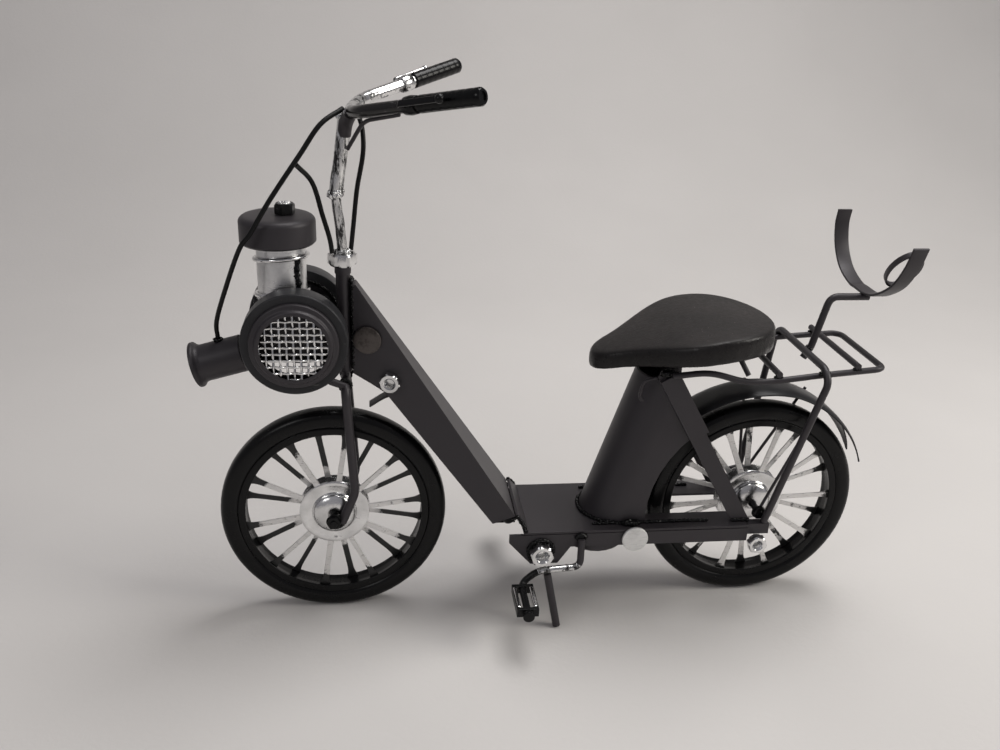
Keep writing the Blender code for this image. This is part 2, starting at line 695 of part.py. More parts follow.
def flared(outline, inset):
    """An outline in (x, z) whose two faces stand apart by the frame's width at each x."""
    shape = bmesh.new()
    sides = [[shape.verts.new((x, sign * (frame_half_width(x) - inset), z)) for x, z in outline]
             for sign in (1, -1)]
    shape.faces.new(sides[0])
    shape.faces.new(reversed(sides[1]))
    for i in range(len(outline)):
        j = (i + 1) % len(outline)
        shape.faces.new((sides[0][i], sides[0][j], sides[1][j], sides[1][i]))
    return shape


def frame_outline():
    front = STEER_X - HEAD_TUBE_DIAMETER / 2 - GAP
    return [(FRAME_TOP_X, FRAME_TOP_Z), (FRAME_FOOT_X, FRAME_FOOT_Z),
            (FRAME_FOOT_X + 12.2, FRAME_FOOT_Z - 6.0),
            (92.8, 137.0), (100.0, 141.5), (front, HEAD_TUBE_FOOT), (front, FRAME_TOP_Z)]


def make_frame(parent):
    """A channel of folded sheet: a back that widens to the foot, and two sides that meet the head tube."""
    outline = frame_outline()
    spine = piece("frame_spine", flared(outline, 0.0), "black_enamel", parent, False)
    run = Vector((FRAME_FOOT_X - FRAME_TOP_X, FRAME_FOOT_Z - FRAME_TOP_Z)).normalized()
    inward = Vector((-run.y, run.x))
    top = Vector((FRAME_TOP_X, FRAME_TOP_Z)) + inward * FRAME_SHEET + run * FRAME_SHEET
    foot = Vector((FRAME_FOOT_X, FRAME_FOOT_Z)) + inward * FRAME_SHEET + run * 12.0
    far = STEER_X
    hollow = [tuple(top), tuple(foot), (foot.x + 40.0, foot.y - 8.0), (far, 110.0), (far, top.y)]
    cutter = piece("frame_hollow", flared(hollow, FRAME_SHEET), "black_enamel", parent, False)
    boolean(spine, cutter, "DIFFERENCE")
    lean = math.atan2(FRAME_FOOT_HALF_WIDTH - FRAME_NOSE_HALF_WIDTH, FRAME_TOP_X + 2.5 - FRAME_FOOT_X)
    disc = on_frame_side(turned([(0, 0), (7.4, 0), (7.4, 1.2), (7.0, 1.5), (0, 1.5)], "Y", (0, 0, 0), 24),
                         (FRAME_DISC[0], frame_half_width(FRAME_DISC[0]) + GAP, FRAME_DISC[1]), lean)
    piece("frame_disc", disc, "grey_steel", parent)
    nut_place = (FRAME_NUT[0], frame_half_width(FRAME_NUT[0]) + GAP, FRAME_NUT[1])
    nut = on_frame_side(prism(hexagon((0, 0), 10.0, 10.0), "Y", 0, 5.0), nut_place, lean)
    made = piece("frame_nut", nut, "chrome", parent, False)
    bore = on_frame_side(turned([(0, 1.5), (2.7, 1.5), (2.7, 6.0), (0, 6.0)], "Y", (0, 0, 0), 16),
                         nut_place, lean)
    boolean(made, piece("frame_nut_bore", bore, "chrome", parent), "DIFFERENCE")


def on_frame_side(shape, place, lean):
    """Sets a shape drawn round the origin, facing +Y, on the frame's left side."""
    shape.transform(Matrix.Translation(place) @ Matrix.Rotation(-lean, 4, "Z"))
    return shape


def make_floor(parent):
    low = FLOOR_TOP - FLOOR_SHEET
    slot_end = REAR_X + WHEEL_RADIUS + 5.0
    half, slot = FLOOR_HALF_WIDTH, SLOT_HALF_WIDTH
    outline = [(FLOOR_FRONT, half), (RAIL_REAR, half), (RAIL_REAR, slot), (slot_end, slot),
               (slot_end, -slot), (RAIL_REAR, -slot), (RAIL_REAR, -half), (FLOOR_FRONT, -half)]
    floor = piece("floor_plate", prism(outline, "Z", low, FLOOR_TOP), "black_enamel", parent, False)
    lip = bmesh.new()
    foot, rise = FRAME_FOOT_HALF_WIDTH, FRAME_FOOT_Z - GAP
    lower = [(FLOOR_FRONT - 2.0, half, low), (FLOOR_FRONT - 2.0, -half, low),
             (FRAME_FOOT_X - 0.4, -foot, rise),
             (FRAME_FOOT_X - 0.4, foot, rise)]
    shift = Vector((-1.6, 0.0, 0.6))
    under = [lip.verts.new(p) for p in lower]
    over = [lip.verts.new(Vector(p) + shift) for p in lower]
    lip.faces.new(under)
    lip.faces.new(reversed(over))
    for i in range(4):
        j = (i + 1) % 4
        lip.faces.new((under[i], under[j], over[j], over[i]))
    welded(floor, piece("floor_lip", lip, "black_enamel", parent, False))
    top = low - GAP
    foot_z = FLOOR_TOP - RAIL_HEIGHT
    drop = FLOOR_TOP - BRACKET_DROP
    side_view = [(RAIL_FRONT, top), (RAIL_FRONT, foot_z + 3.5), (SPINDLE_X + 5.5, drop),
                 (SPINDLE_X - 10.0, drop),
                 (SPINDLE_X - 17.0, foot_z), (RAIL_REAR, foot_z), (RAIL_REAR, top)]
    for side, name in ((1, "left_rail"), (-1, "right_rail")):
        ends = sorted((side * half, side * (half - RAIL_THICKNESS)))
        rail = piece(name, prism(side_view, "Y", *ends), "black_enamel", parent, False)
        hole = AXLE_DIAMETER / 2 + GAP
        bore = turned([(0, half - 6), (hole, half - 6), (hole, half + 4), (0, half + 4)], "Y",
                      (SPINDLE_X, 0, SPINDLE_Z), 12)
        if side < 0:
            bore.transform(Matrix.Scale(-1, 4, (0, 1, 0)))
        boolean(rail, piece(name + "_bore", bore, "black_enamel", parent), "DIFFERENCE")
        ends = sorted((side * DROPOUT_INNER_Y, side * (half - 1.3)))
        tail, low_z = REAR_X - 4.5, foot_z + 3.5
        plate = [(tail, low_z), (RAIL_REAR + 4.0, low_z), (RAIL_REAR + 4.0, top), (RAIL_REAR - GAP, top),
                 (RAIL_REAR - GAP, DROPOUT_TOP), (tail, DROPOUT_TOP)]
        welded(rail, piece(name + "_dropout", prism(plate, "Y", *ends), "black_enamel", parent, False))


def side_nut(name, x, z, inner, flats, height, bore, parent, finish="chrome"):
    """A hexagon nut on a side face, with its blind hole outwards."""
    side = 1 if inner > 0 else -1
    ends = sorted((inner, inner + side * height))
    nut = piece(name, prism(hexagon((x, z), flats, 12.0), "Y", *ends), finish, parent, False)
    low, high = sorted((inner + side * height * 0.35, inner + side * (height + 2)))
    hole = turned([(0, low), (bore, low), (bore, high), (0, high)], "Y", (x, 0, z), 16)
    boolean(nut, piece(name + "_bore", hole, finish, parent), "DIFFERENCE")


def make_bottom_bracket(parent):
    outer = FLOOR_HALF_WIDTH
    tip = outer + GAP * 0.5
    radius = AXLE_DIAMETER / 2
    spindle = turned([(0, -tip), (radius, -tip), (radius, tip), (0, tip)], "Y", (SPINDLE_X, 0, SPINDLE_Z), 12)
    piece("bracket_spindle", spindle, "black_enamel", parent)
    for side, name in ((1, "left"), (-1, "right")):
        inner = side * (tip + GAP)
        side_nut(name + "_bracket_nut", SPINDLE_X, SPINDLE_Z, inner, BRACKET_NUT_FLATS, NUT_HEIGHT, 3.6,
                 parent)
        side_nut(name + "_rear_nut", RAIL_REAR - 5.9, SPINDLE_Z + 0.6, side * (outer - 1.0), 10.0, 5.0, 2.8,
                 parent)
    disc = turned([(0, 0), (7.5, 0), (7.5, 1.2), (7.1, 1.6), (0, 1.6)], "Y", (-46.5, outer + GAP, 53.2), 28)
    piece("rail_disc", disc, "grey_steel", parent)
    pan = turned([(0, 42.5), (17.0, 42.5), (19.0, 44.5), (19.0, 48.0), (17.5, 48.0), (17.5, 45.0), (0, 44.0)],
                 "Z", (-27.0, 0, 0.7), 24)
    pan.transform(Matrix.Translation((0, 7.0, 0)))
    piece("belly_pan", pan, "black_enamel", parent)


def seat_front(z):
    share = (z - FLOOR_TOP) / (SEAT_BODY_TOP - FLOOR_TOP)
    return SEAT_BODY_FOOT_X - SEAT_BODY_LEAN * share


def leaning_channel(half, nose, back, low, high):
    """A U in plan, open to the rear, pushed up along the seat body's lean."""
    plan = arc((-nose, 0.0), nose, 90, -90, 12)
    plan = [(x, y * half / nose) for x, y in plan]
    plan = [(-back, half), *plan, (-back, -half)]
    shape = bmesh.new()
    ends = [[shape.verts.new((seat_front(z) + x, y, z)) for x, y in plan] for z in (low, high)]
    shape.faces.new(ends[0])
    shape.faces.new(reversed(ends[1]))
    for i in range(len(plan)):
        j = (i + 1) % len(plan)
        shape.faces.new((ends[0][i], ends[0][j], ends[1][j], ends[1][i]))
    return shape


def make_seat_body(parent):
    sheet = SEAT_BODY_SHEET
    low, high = FLOOR_TOP + GAP, SEAT_BODY_TOP
    half = SEAT_BODY_HALF_WIDTH
    body = piece("seat_body", leaning_channel(half, half, 75.0, low, high), "black_enamel", parent)
    hollow = leaning_channel(half - sheet, half - sheet, 95.0, low - 5, high + 5)
    hollow.transform(Matrix.Translation((-sheet, 0, 0)))
    boolean(body, piece("seat_body_hollow", hollow, "black_enamel", parent), "DIFFERENCE")
    round_wheel = turned([(0, -40), (WHEEL_RADIUS + 5.5, -40), (WHEEL_RADIUS + 5.5, 40), (0, 40)], "Y",
                         (REAR_X, 0, WHEEL_RADIUS), TYRE_STEPS)
    boolean(body, piece("seat_body_wheel_cut", round_wheel, "black_enamel", parent), "DIFFERENCE")
    top, foot = stay_ends()
    run = (foot - top).normalized()
    back = Vector((-abs(run.y), abs(run.x)))
    edge = [top + back - run * 30, top + back + run * 150, top + back * 90 + run * 150,
            top + back * 90 - run * 30]
    behind = prism([tuple(p) for p in edge], "Y", -40, 40)
    boolean(body, piece("seat_body_stay_cut", behind, "black_enamel", parent), "DIFFERENCE")
    wall_x, wide = -62.0, half - sheet / 2
    wall = block((wall_x - 3.0, -wide, 120.0), (wall_x, wide, seat_floor(wall_x) - GAP))
    welded(body, piece("seat_body_wall", wall, "black_enamel", parent, False))


def stay_ends():
    """The middle of the seat stay's two ends, in (x, z)."""
    return Vector((-55.5, 152.5)), Vector((-109.8, FLOOR_TOP + GAP))


def make_seat_stays(parent):
    top, foot = stay_ends()
    run = (foot - top).normalized()
    across = Vector((-run.y, run.x))
    for side, name in ((1, "left_seat_stay"), (-1, "right_seat_stay")):
        inner = SEAT_BODY_HALF_WIDTH + GAP
        ends = sorted((side * inner, side * (inner + STAY_SHEET)))
        half = STAY_WIDTH / 2
        cut = (top + across * half, top - across * half)
        slant = half * across.y / run.y
        outline = [tuple(cut[0]), tuple(cut[1]), tuple(foot - across * half + run * slant),
                   tuple(foot + across * half - run * slant)]
        stay = piece(name, prism(outline, "Y", *ends), "black_enamel", parent, False)
        wide = half + 1.6
        outline = [tuple(top + run * 3 + across * (half + 0.2)), tuple(top + run * 3 - across * wide),
                   tuple(top + run * 44 - across * wide), tuple(top + run * 44 + across * (half + 0.2))]
        ends = sorted((side * (inner + 0.4), side * (inner + STAY_SHEET + 2.2)))
        welded(stay, piece(name + "_doubler", prism(outline, "Y", *ends), "black_enamel", parent, False))


# Seat, guards, rack and cradle

def seat_half_width(share):
    """Half the seat's width at a share of its length from the nose."""
    bulge = math.sin(math.pi / 2 * min(share / SEAT_WIDEST, 1.0)) ** 1.9
    width = SEAT_NOSE_HALF_WIDTH + (SEAT_HALF_WIDTH - SEAT_NOSE_HALF_WIDTH) * bulge
    nose = math.sqrt(max(1 - (1 - min(share / 0.10, 1.0)) ** 2, 0.0))
    tail = math.sqrt(max(1 - (max(share - SEAT_WIDEST, 0.0) / (1 - SEAT_WIDEST)) ** 2.2, 0.0))
    return width * nose * tail


def seat_floor(x):
    share = (SEAT_NOSE_X - x) / SEAT_LENGTH
    rise = SEAT_RISE * math.sin(math.pi / 2 * min(share / 0.8, 1.0))
    return SEAT_NOSE_Z + rise - SEAT_TAIL_DROP * (max(share - 0.75, 0.0) / 0.25) ** 2


def seat_depth(x):
    share = (SEAT_NOSE_X - x) / SEAT_LENGTH
    return SEAT_THICKNESS + SEAT_SWELL * math.sin(math.pi / 2 * min(share / 0.7, 1.0)) ** 2


def make_seat(parent):
    shares = [0.012, 0.04, 0.09, 0.17, 0.27, 0.38, 0.50, 0.62, 0.72, 0.80, 0.87, 0.93, 0.97, 0.992]
    across = [-1.0, -0.6, 0.0, 0.6, 1.0]
    shape = bmesh.new()
    layers = []
    for level in (0.0, 1.0):
        rows = []
        for share in shares:
            x = SEAT_NOSE_X - SEAT_LENGTH * share
            half = seat_half_width(share)
            height = seat_floor(x) + seat_depth(x) * level
            rows.append([shape.verts.new((x, half * a, height)) for a in across])
        layers.append(rows)
    for rows, flip in zip(layers, (False, True)):
        for before, after in zip(rows, rows[1:]):
            for i in range(len(across) - 1):
                face = (before[i], before[i + 1], after[i + 1], after[i])
                shape.faces.new(tuple(reversed(face)) if flip else face)
    low, high = layers
    count = len(across)
    rim = [(0, i) for i in range(count)] + [(r, count - 1) for r in range(1, len(shares))]
    rim += [(len(shares) - 1, i) for i in range(count - 2, -1, -1)]
    rim += [(r, 0) for r in range(len(shares) - 2, 0, -1)]
    for (r, i), (s, j) in zip(rim, rim[1:] + rim[:1]):
        shape.faces.new((low[r][i], low[s][j], high[s][j], high[r][i]))
    piece("seat", shape, "black_vinyl", parent)
    outer = SEAT_BODY_HALF_WIDTH + GAP + 0.8
    path = rounded([(-51.2, outer, 149.4), (-44.0, outer, 147.6), (-42.4, outer, 139.0),
                    (-44.2, outer, 136.0)], 3.0)
    piece("seat_hook", rod(path, 1.6, 8), "black_enamel", parent)


def guard_strip(centre_x, start, end, steps, taper):
    """A curved strip of sheet round a wheel's axis, its angles measured from the top towards the rear."""
    shape = bmesh.new()
    rings = []
    for i in range(steps + 1):
        share = i / steps
        turn = math.radians(start + (end - start) * share)
        narrow = 1.0 - (1.0 - taper) * max(share - 0.75, 0.0) / 0.25
        closer = max(share - 0.45, 0.0) / 0.55
        radius = WHEEL_RADIUS + GUARD_CLEARANCE + (GUARD_TIP_CLEARANCE - GUARD_CLEARANCE) * closer
        ring = []
        for y, lift in ((-1, -1.6), (-0.55, 0.0), (0.55, 0.0), (1, -1.6)):
            reach, side = radius + lift, y * GUARD_HALF_WIDTH * narrow
            ring.append((centre_x - reach * math.sin(turn), side, WHEEL_RADIUS + reach * math.cos(turn)))
        outward = Vector((-math.sin(turn), 0, math.cos(turn))) * GUARD_SHEET
        below = [shape.verts.new(p) for p in ring]
        above = [shape.verts.new(Vector(p) + outward) for p in reversed(ring)]
        rings.append(below + above)
    for before, after in zip(rings, rings[1:]):
        for i in range(len(before)):
            j = (i + 1) % len(before)
            shape.faces.new((before[i], before[j], after[j], after[i]))
    shape.faces.new(rings[0])
    shape.faces.new(reversed(rings[-1]))
    return shape


def make_guards(parent):
    guard = piece("rear_mudguard", guard_strip(REAR_X, -34.0, 67.5, 20, 0.25), "black_enamel", parent)
    reach = WHEEL_RADIUS + GUARD_CLEARANCE - 0.8
    hook = AXLE_DIAMETER / 2 + 2 * GAP
    axis = Vector((REAR_X, 0, WHEEL_RADIUS))
    for name, side, angle, y in (("left", 1, 25.0, 17.5), ("right", -1, 25.0, 17.5),
                                 ("upright", -1, -6.0, 15.0)):
        turn = math.radians(angle)
        away = Vector((-math.sin(turn), 0, math.cos(turn)))
        route = [axis + away * reach + Vector((0, side * (GUARD_HALF_WIDTH - 0.6), 0)),
                 axis + away * hook + Vector((0, side * y, 0))]
        welded(guard, piece(name + "_guard_wire", rod(route, GUARD_WIRE, 6), "black_enamel", parent))
    path = flowing([(101.0, 0, 127.0), (92.0, 0, 132.5), (84.0, 0, 134.0), (72.0, 0, 131.4),
                    (65.9, 0, 130.6)], 3)
    front = swept(path, flat_section(SPLASH_STRIP_WIDTH, GUARD_SHEET), (0, 1, 0))
    piece("front_mudguard", front, "black_enamel", parent)


def make_rack(parent):
    half, z, rear = RACK_HALF_WIDTH, RACK_Z, RACK_REAR
    side = [(-58.0, SEAT_BODY_HALF_WIDTH + 6.0, z - 3.3), (-78.0, half - 2, z - 1.5), (-97.0, half, z - 5.5),
            (-113.0, half, z - 5.5), (-140.0, half, z - 2.5), (rear + 4.0, half - 1.0, z)]
    corner = [(rear, half - 6.0, z), (rear, 0.0, z)]
    path = flowing(side, 3) + [Vector((rear + 0.8, half - 3.4, z))] + [Vector(p) for p in corner]
    other = [Vector((p.x, -p.y, p.z)) for p in reversed(path[:-1])]
    piece("rack_loop", rod(path + other, RACK_ROD, 8), "black_enamel", parent)
    lift = RACK_ROD + GAP
    for x, name, drop in ((-159.0, "rack_rear_bar", 1.2), (-115.5, "rack_front_bar", 5.3)):
        level = z - drop + lift
        bar = [(x, -half - 2.5, level), (x, half + 1.0, level)]
        piece(name, rod(bar, RACK_ROD, 8), "black_enamel", parent)
    wide, top = RACK_STAY_HALF_WIDTH, z - 2.5 + lift + 0.6
    foot = (REAR_X - 1.5, 24.0, DROPOUT_TOP + 2 * GAP)
    half_path = [foot, (-140.0, wide, top - 6.0), (-140.0, wide - 6.0, top)]
    path = rounded(half_path + mirrored(reversed(half_path)), 4.0)
    piece("rack_stay", rod(path, ROD_DIAMETER, 8), "black_enamel", parent)


def make_cradle(parent):
    """A rod up from the rack stay to a strap that holds a lying bottle, with a finger loop."""
    top_z = CRADLE_FLOOR - CRADLE_STRAP_SHEET / 2 - ROD_DIAMETER / 2 - GAP
    path = [(-141.5, 0, 151.5), (-145.2, 0, 158.0), (-146.2, 0, 163.0), (-151.5, 0, top_z),
            (CRADLE_X - 1.0, 0, top_z)]
    piece("cradle_rod", rod(rounded(path, 4.0), ROD_DIAMETER, 8), "black_enamel", parent)
    wide, floor, top = CRADLE_HALF_WIDTH, CRADLE_FLOOR, CRADLE_TOP
    outline = [(-wide + 0.8, top), (-wide, top - 9), (-wide + 4.5, top - 21), (-wide + 14.0, floor + 5.5),
               (-wide + 27.0, floor + 0.5), (-8.0, floor), (4.0, floor), (wide - 28.0, floor + 3.0),
               (wide - 14.0, floor + 12.0), (wide - 5.0, floor + 24.0), (wide, top)]
    strap = swept(flowing([(CRADLE_X, y, z) for y, z in outline], 3),
                  flat_section(CRADLE_STRAP_WIDTH, CRADLE_STRAP_SHEET), (1, 0, 0))
    piece("cradle_strap", strap, "black_enamel", parent)
    low, high = Vector((CRADLE_X, 23.0, 202.0)), Vector((CRADLE_X, 38.0, 222.5))
    middle, run = (low + high) / 2, (high - low).normalized()
    reach = (high - low).length / 2
    inward = Vector((0, -run.z, run.y))
    band = bmesh.new()
    steps = 24
    rows = []
    for i in range(steps):
        turn = 2 * math.pi * i / steps
        outward = run * math.cos(turn) + Vector((1, 0, 0)) * math.sin(turn)
        place = middle + run * reach * math.cos(turn) + Vector((LOOP_HALF_WIDTH * math.sin(turn), 0, 0))
        corners = ((1, 1), (1, -1), (-1, -1), (-1, 1))
        rows.append([band.verts.new(place + outward * 0.6 * a + inward * 1.5 * b) for a, b in corners])
    for row, after in zip(rows, rows[1:] + rows[:1]):
        for k in range(4):
            m = (k + 1) % 4
            band.faces.new((row[k], row[m], after[m], after[k]))
    piece("cradle_loop", band, "black_enamel", parent)


def make_rear_axle(parent):
    return axle("rear_axle", REAR_X, SEAT_BODY_HALF_WIDTH + 1.6, AXLE_HEAD_RADIUS, parent)


# Pedals and stand

def make_pedals(parent):
    """On each side a bent rod under the rail carries a flat pedal that turns on the rod's end."""
    reach = FLOOR_HALF_WIDTH + GAP + PEDAL_ROD / 2
    low = SPINDLE_Z - NUT_ACROSS_FLATS / 2 - PEDAL_ROD / 2 - 1.8
    end_y = PEDAL_INNER_Y + PEDAL_LENGTH + 3.0
    stop = PEDAL_ROD / 2 + 1.2
    for side, name in ((1, "left"), (-1, "right")):
        path = [(-15.5, reach, FLOOR_TOP - 4.0), (-15.5, reach + 1.0, low + 1.0), (9.0, reach + 2.0, low),
                (PEDAL_X, PEDAL_INNER_Y - 4.0, PEDAL_Z), (PEDAL_X, end_y, PEDAL_Z)]
        path = rounded([(x, side * y, z) for x, y, z in path], 4.0)
        arm = piece(name + "_pedal_arm", rod(path, PEDAL_ROD, 8), "chrome", parent)
        ends = sorted((side * (end_y - 1.2), side * (end_y + 0.8)))
        head = turned([(0, ends[0]), (stop, ends[0]), (stop, ends[1]), (0, ends[1])], "Y",
                      (PEDAL_X, 0, PEDAL_Z), 12)
        welded(arm, piece(name + "_pedal_stop", head, "chrome", parent))
        middle = (PEDAL_X, side * (PEDAL_INNER_Y + PEDAL_LENGTH / 2), PEDAL_Z)
        make_pedal(name + "_pedal", side, pivot(name + "_pedal_pivot", middle, parent))


def make_pedal(name, side, parent):
    """A frame with an eye at each end and two tread plates."""
    ends = sorted((side * PEDAL_INNER_Y, side * (PEDAL_INNER_Y + PEDAL_LENGTH)))
    half_x, half_z = PEDAL_WIDTH / 2, PEDAL_HEIGHT / 2
    corners = ((PEDAL_X - half_x, ends[0], PEDAL_Z - half_z), (PEDAL_X + half_x, ends[1], PEDAL_Z + half_z))
    frame = piece(name, block(*corners), "black_enamel", parent, False)
    bar, plate = 2.0, 2.0
    eye = PEDAL_ROD / 2 + RUNNING
    windows = bmesh.new()
    low, high = ends[0] + bar, ends[1] - bar
    size = Matrix.Diagonal((PEDAL_WIDTH - 2 * plate, high - low, 3 * PEDAL_HEIGHT, 1.0))
    place = Matrix.Translation((PEDAL_X, (low + high) / 2, PEDAL_Z))
    bmesh.ops.create_cube(windows, size=1.0, matrix=place @ size)
    boolean(frame, piece(name + "_windows", windows, "black_enamel", parent, False), "DIFFERENCE")
    profile = [(0, ends[0] - 3), (eye, ends[0] - 3), (eye, ends[1] + 3), (0, ends[1] + 3)]
    hole = turned(profile, "Y", (PEDAL_X, 0, PEDAL_Z), 14)
    boolean(frame, piece(name + "_eye", hole, "black_enamel", parent), "DIFFERENCE")


def make_stand(parent):
    x, y = STAND_FOOT
    reach = FLOOR_HALF_WIDTH + GAP + PEDAL_ROD / 2 + 1.6
    low = SPINDLE_Z - NUT_ACROSS_FLATS / 2 - PEDAL_ROD / 2 - 1.8
    top = (3.2, reach, low - PEDAL_ROD / 2 - GAP - 0.2)
    leg = rod([top, (x, y, 0.0)], STAND_DIAMETER, 12)
    stand = piece("side_stand", leg, "black_enamel", parent)
    ground = block((x - 10, y - 10, -10.0), (x + 10, y + 10, 0.0))
    boolean(stand, piece("stand_ground_cut", ground, "black_enamel", parent), "DIFFERENCE")


def centre_on_box(model):
    """Puts the model's own origin under the middle of its box, in length."""
    bpy.context.view_layer.update()
    graph = bpy.context.evaluated_depsgraph_get()
    reach = []
    for obj in bpy.data.objects:
        if obj.type == "MESH" and not obj.hide_render:
            shaped = obj.evaluated_get(graph)
            reach += [(shaped.matrix_world @ Vector(corner)).x for corner in shaped.bound_box]
    model.location.x -= (min(reach) + max(reach)) / 2


def main():
    clear_scene()
    make_finishes()
    model = pivot("model", (0.0, 0.0, 0.0))
    rear_wheel = pivot("rear_wheel_pivot", (REAR_X, 0.0, WHEEL_RADIUS), model)
    steering = pivot("steering_pivot", (STEER_X, 0.0, HEAD_TUBE_TOP), model)
    front_wheel = pivot("front_wheel_pivot", (FRONT_X, 0.0, WHEEL_RADIUS), steering)
    for part, x, turning in (("rear", REAR_X, rear_wheel), ("front", FRONT_X, front_wheel)):
        tyre(part + "_tyre", x, turning)
        wheel(part + "_wheel", x, turning)
    make_head_tube(model)
    make_frame(model)
    make_floor(model)
    make_bottom_bracket(model)
    make_seat_body(model)
    make_seat_stays(model)
    make_seat(model)
    make_guards(model)
    make_rack(model)
    make_cradle(model)
    make_rear_axle(model)
    make_pedals(model)
    make_stand(model)
    make_fork(steering)
    make_front_axle(steering)
    make_stem(steering)
    make_bar(steering)
    make_levers(steering)
    make_cables(steering)
    make_drums(steering)
    make_crankcase(steering)
    make_cylinder(steering)
    make_cap(steering)
    make_lamp(steering)
    centre_on_box(model)


main()
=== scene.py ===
"""Looks of a welded tin moped that carries a bottle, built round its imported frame.

Shapes are drawn in millimetres in the moped's own places: +X forward, +Y to the rider's left, +Z up,
from the point on the ground midway between the wheels. TO_ROW turns them into the frame's metres.
"""

import math

import bmesh
import bpy
from bpy.props import FloatProperty, FloatVectorProperty, IntProperty, PointerProperty
from mathutils import Matrix, Vector


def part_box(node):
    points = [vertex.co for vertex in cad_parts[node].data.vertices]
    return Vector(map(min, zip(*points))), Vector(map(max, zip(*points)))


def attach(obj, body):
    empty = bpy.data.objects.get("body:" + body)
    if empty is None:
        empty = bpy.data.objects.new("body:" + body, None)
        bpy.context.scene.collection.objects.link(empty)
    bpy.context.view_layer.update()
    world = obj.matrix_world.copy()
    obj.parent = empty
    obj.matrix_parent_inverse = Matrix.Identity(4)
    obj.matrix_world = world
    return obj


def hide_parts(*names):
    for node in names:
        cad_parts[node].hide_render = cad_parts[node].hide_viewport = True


bl_info = {
    "name": "Bottle Moped",
    "version": (1, 0, 0),
    "blender": (4, 5, 0),
    "location": "3D View > Sidebar > Moped",
    "description": "Finishes a welded tin moped that carries a bottle",
    "category": "Object",
}

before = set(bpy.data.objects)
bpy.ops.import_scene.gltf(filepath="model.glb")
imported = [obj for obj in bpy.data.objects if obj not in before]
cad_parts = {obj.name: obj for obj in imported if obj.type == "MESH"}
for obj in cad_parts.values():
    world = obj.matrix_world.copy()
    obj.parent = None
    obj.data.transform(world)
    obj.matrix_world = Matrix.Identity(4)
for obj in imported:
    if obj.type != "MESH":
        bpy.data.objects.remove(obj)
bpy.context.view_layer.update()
MM = 0.001


def middle_of(node):
    low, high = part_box(node)
    return (low + high) / 2


FRONT_AXLE = middle_of("front_axle")
REAR_AXLE = middle_of("rear_axle")
TO_ROW = Matrix.Translation(((FRONT_AXLE.x + REAR_AXLE.x) / 2, 0, 0)) @ Matrix.Scale(MM, 4)
FROM_ROW = TO_ROW.inverted()


def place_of(node):
    """The middle of a frame node, in the moped's own millimetres."""
    return FROM_ROW @ middle_of(node)


def reach_of(node):
    """Half the size of a frame node along each axis, in millimetres."""
    low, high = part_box(node)
    return (high - low) / 2 / MM


# Sizes that the frame gives

WHEEL_RADIUS = place_of("front_axle").z
FRONT_X = place_of("front_axle").x
REAR_X = place_of("rear_axle").x
STEER_X = place_of("head_tube").x
DRUM = place_of("left_drum")
DRUM_RADIUS = reach_of("left_drum").x
CAP = place_of("engine_cap")
CAP_RADIUS = reach_of("engine_cap").x
CYLINDER_X = place_of("cylinder").x

# Sizes that the frame's pieces were drawn to

ROUND_STEPS = 72
WHEEL_STEPS = 144
DRUM_STEPS = 120
TYRE_DEPTH = 11.0
TYRE_HALF_WIDTH = 6.5
TYRE_SQUARENESS = 2.7
RIM_DEPTH = 3.0
RIM_HALF_WIDTH = 4.6
SPOKE_PLANE = 3.2
HUB_FLANGE_RADIUS = 19.4
HUB_DOME_RADIUS = 12.0
HUB_HALF_LENGTH = 9.2
AXLE_RADIUS = 2.0
FORK_ROD = 5.0
FORK_HALF_WIDTH = 12.6
FORK_CROWN_Z = 142.0
FORK_BEND_Z = 80.0
FORK_LEAN_X = STEER_X - 4.0
HEAD_TUBE_RADIUS = 3.7
HEAD_TUBE_FOOT = 147.0
HEAD_TUBE_TOP = 205.0
STEM_ROD = 5.0
STEM_SLEEVE = 6.8
BAR_ROD = 6.2
BAR_FRONT_Z = 278.6 + BAR_ROD / 2
BAR_SHOULDER = Vector((STEER_X - 10.5, 22.0, BAR_FRONT_Z + 2.5))
BAR_END = Vector((STEER_X - 62.0, 66.4, BAR_FRONT_Z + 16.0))
GRIP_ROD = 8.0
GRIP_LENGTH = 34.0
CABLE_ROD = 2.4
DRUM_INNER_Y = 15.0
DRUM_FACE_Y = 26.5
BEZEL_HEIGHT = 4.5
OPENING_RADIUS = 16.8
CYLINDER_RADIUS = 12.3
CYLINDER_FOOT = 185.8
CAP_FOOT = 217.0
CAP_HEIGHT = 14.3
LAMP_RADIUS = 9.8
LAMP_LENGTH = 26.0
LAMP_FRONT = Vector((190.5, 0.0, 151.0))
LAMP_DIP = math.radians(15.0)
SPINDLE = Vector((7.0, 0.0, 47.0))
RAIL_FACE = 27.0
FLOOR_TOP = 59.0
SEAT_NOSE_X = -18.5
SEAT_NOSE_Z = 148.0
SEAT_LENGTH = 100.5
SEAT_HALF_WIDTH = 40.5
SEAT_NOSE_HALF_WIDTH = 11.0
SEAT_WIDEST = 0.57
RACK_Z = 155.5
RACK_REAR = -175.5
RACK_HALF_WIDTH = 29.0
RACK_ROD = 3.4
RACK_LIFT = RACK_ROD + 0.3
CRADLE_X = -172.5
CRADLE_HALF_WIDTH = 42.5
CRADLE_FLOOR = 190.5
CRADLE_TOP = 226.5
PEDAL_X = 18.0
PEDAL_Z = 29.0
PEDAL_INNER_Y = 36.0
PEDAL_LENGTH = 23.0
PEDAL_ROD = 4.0


# Settings that a user would change

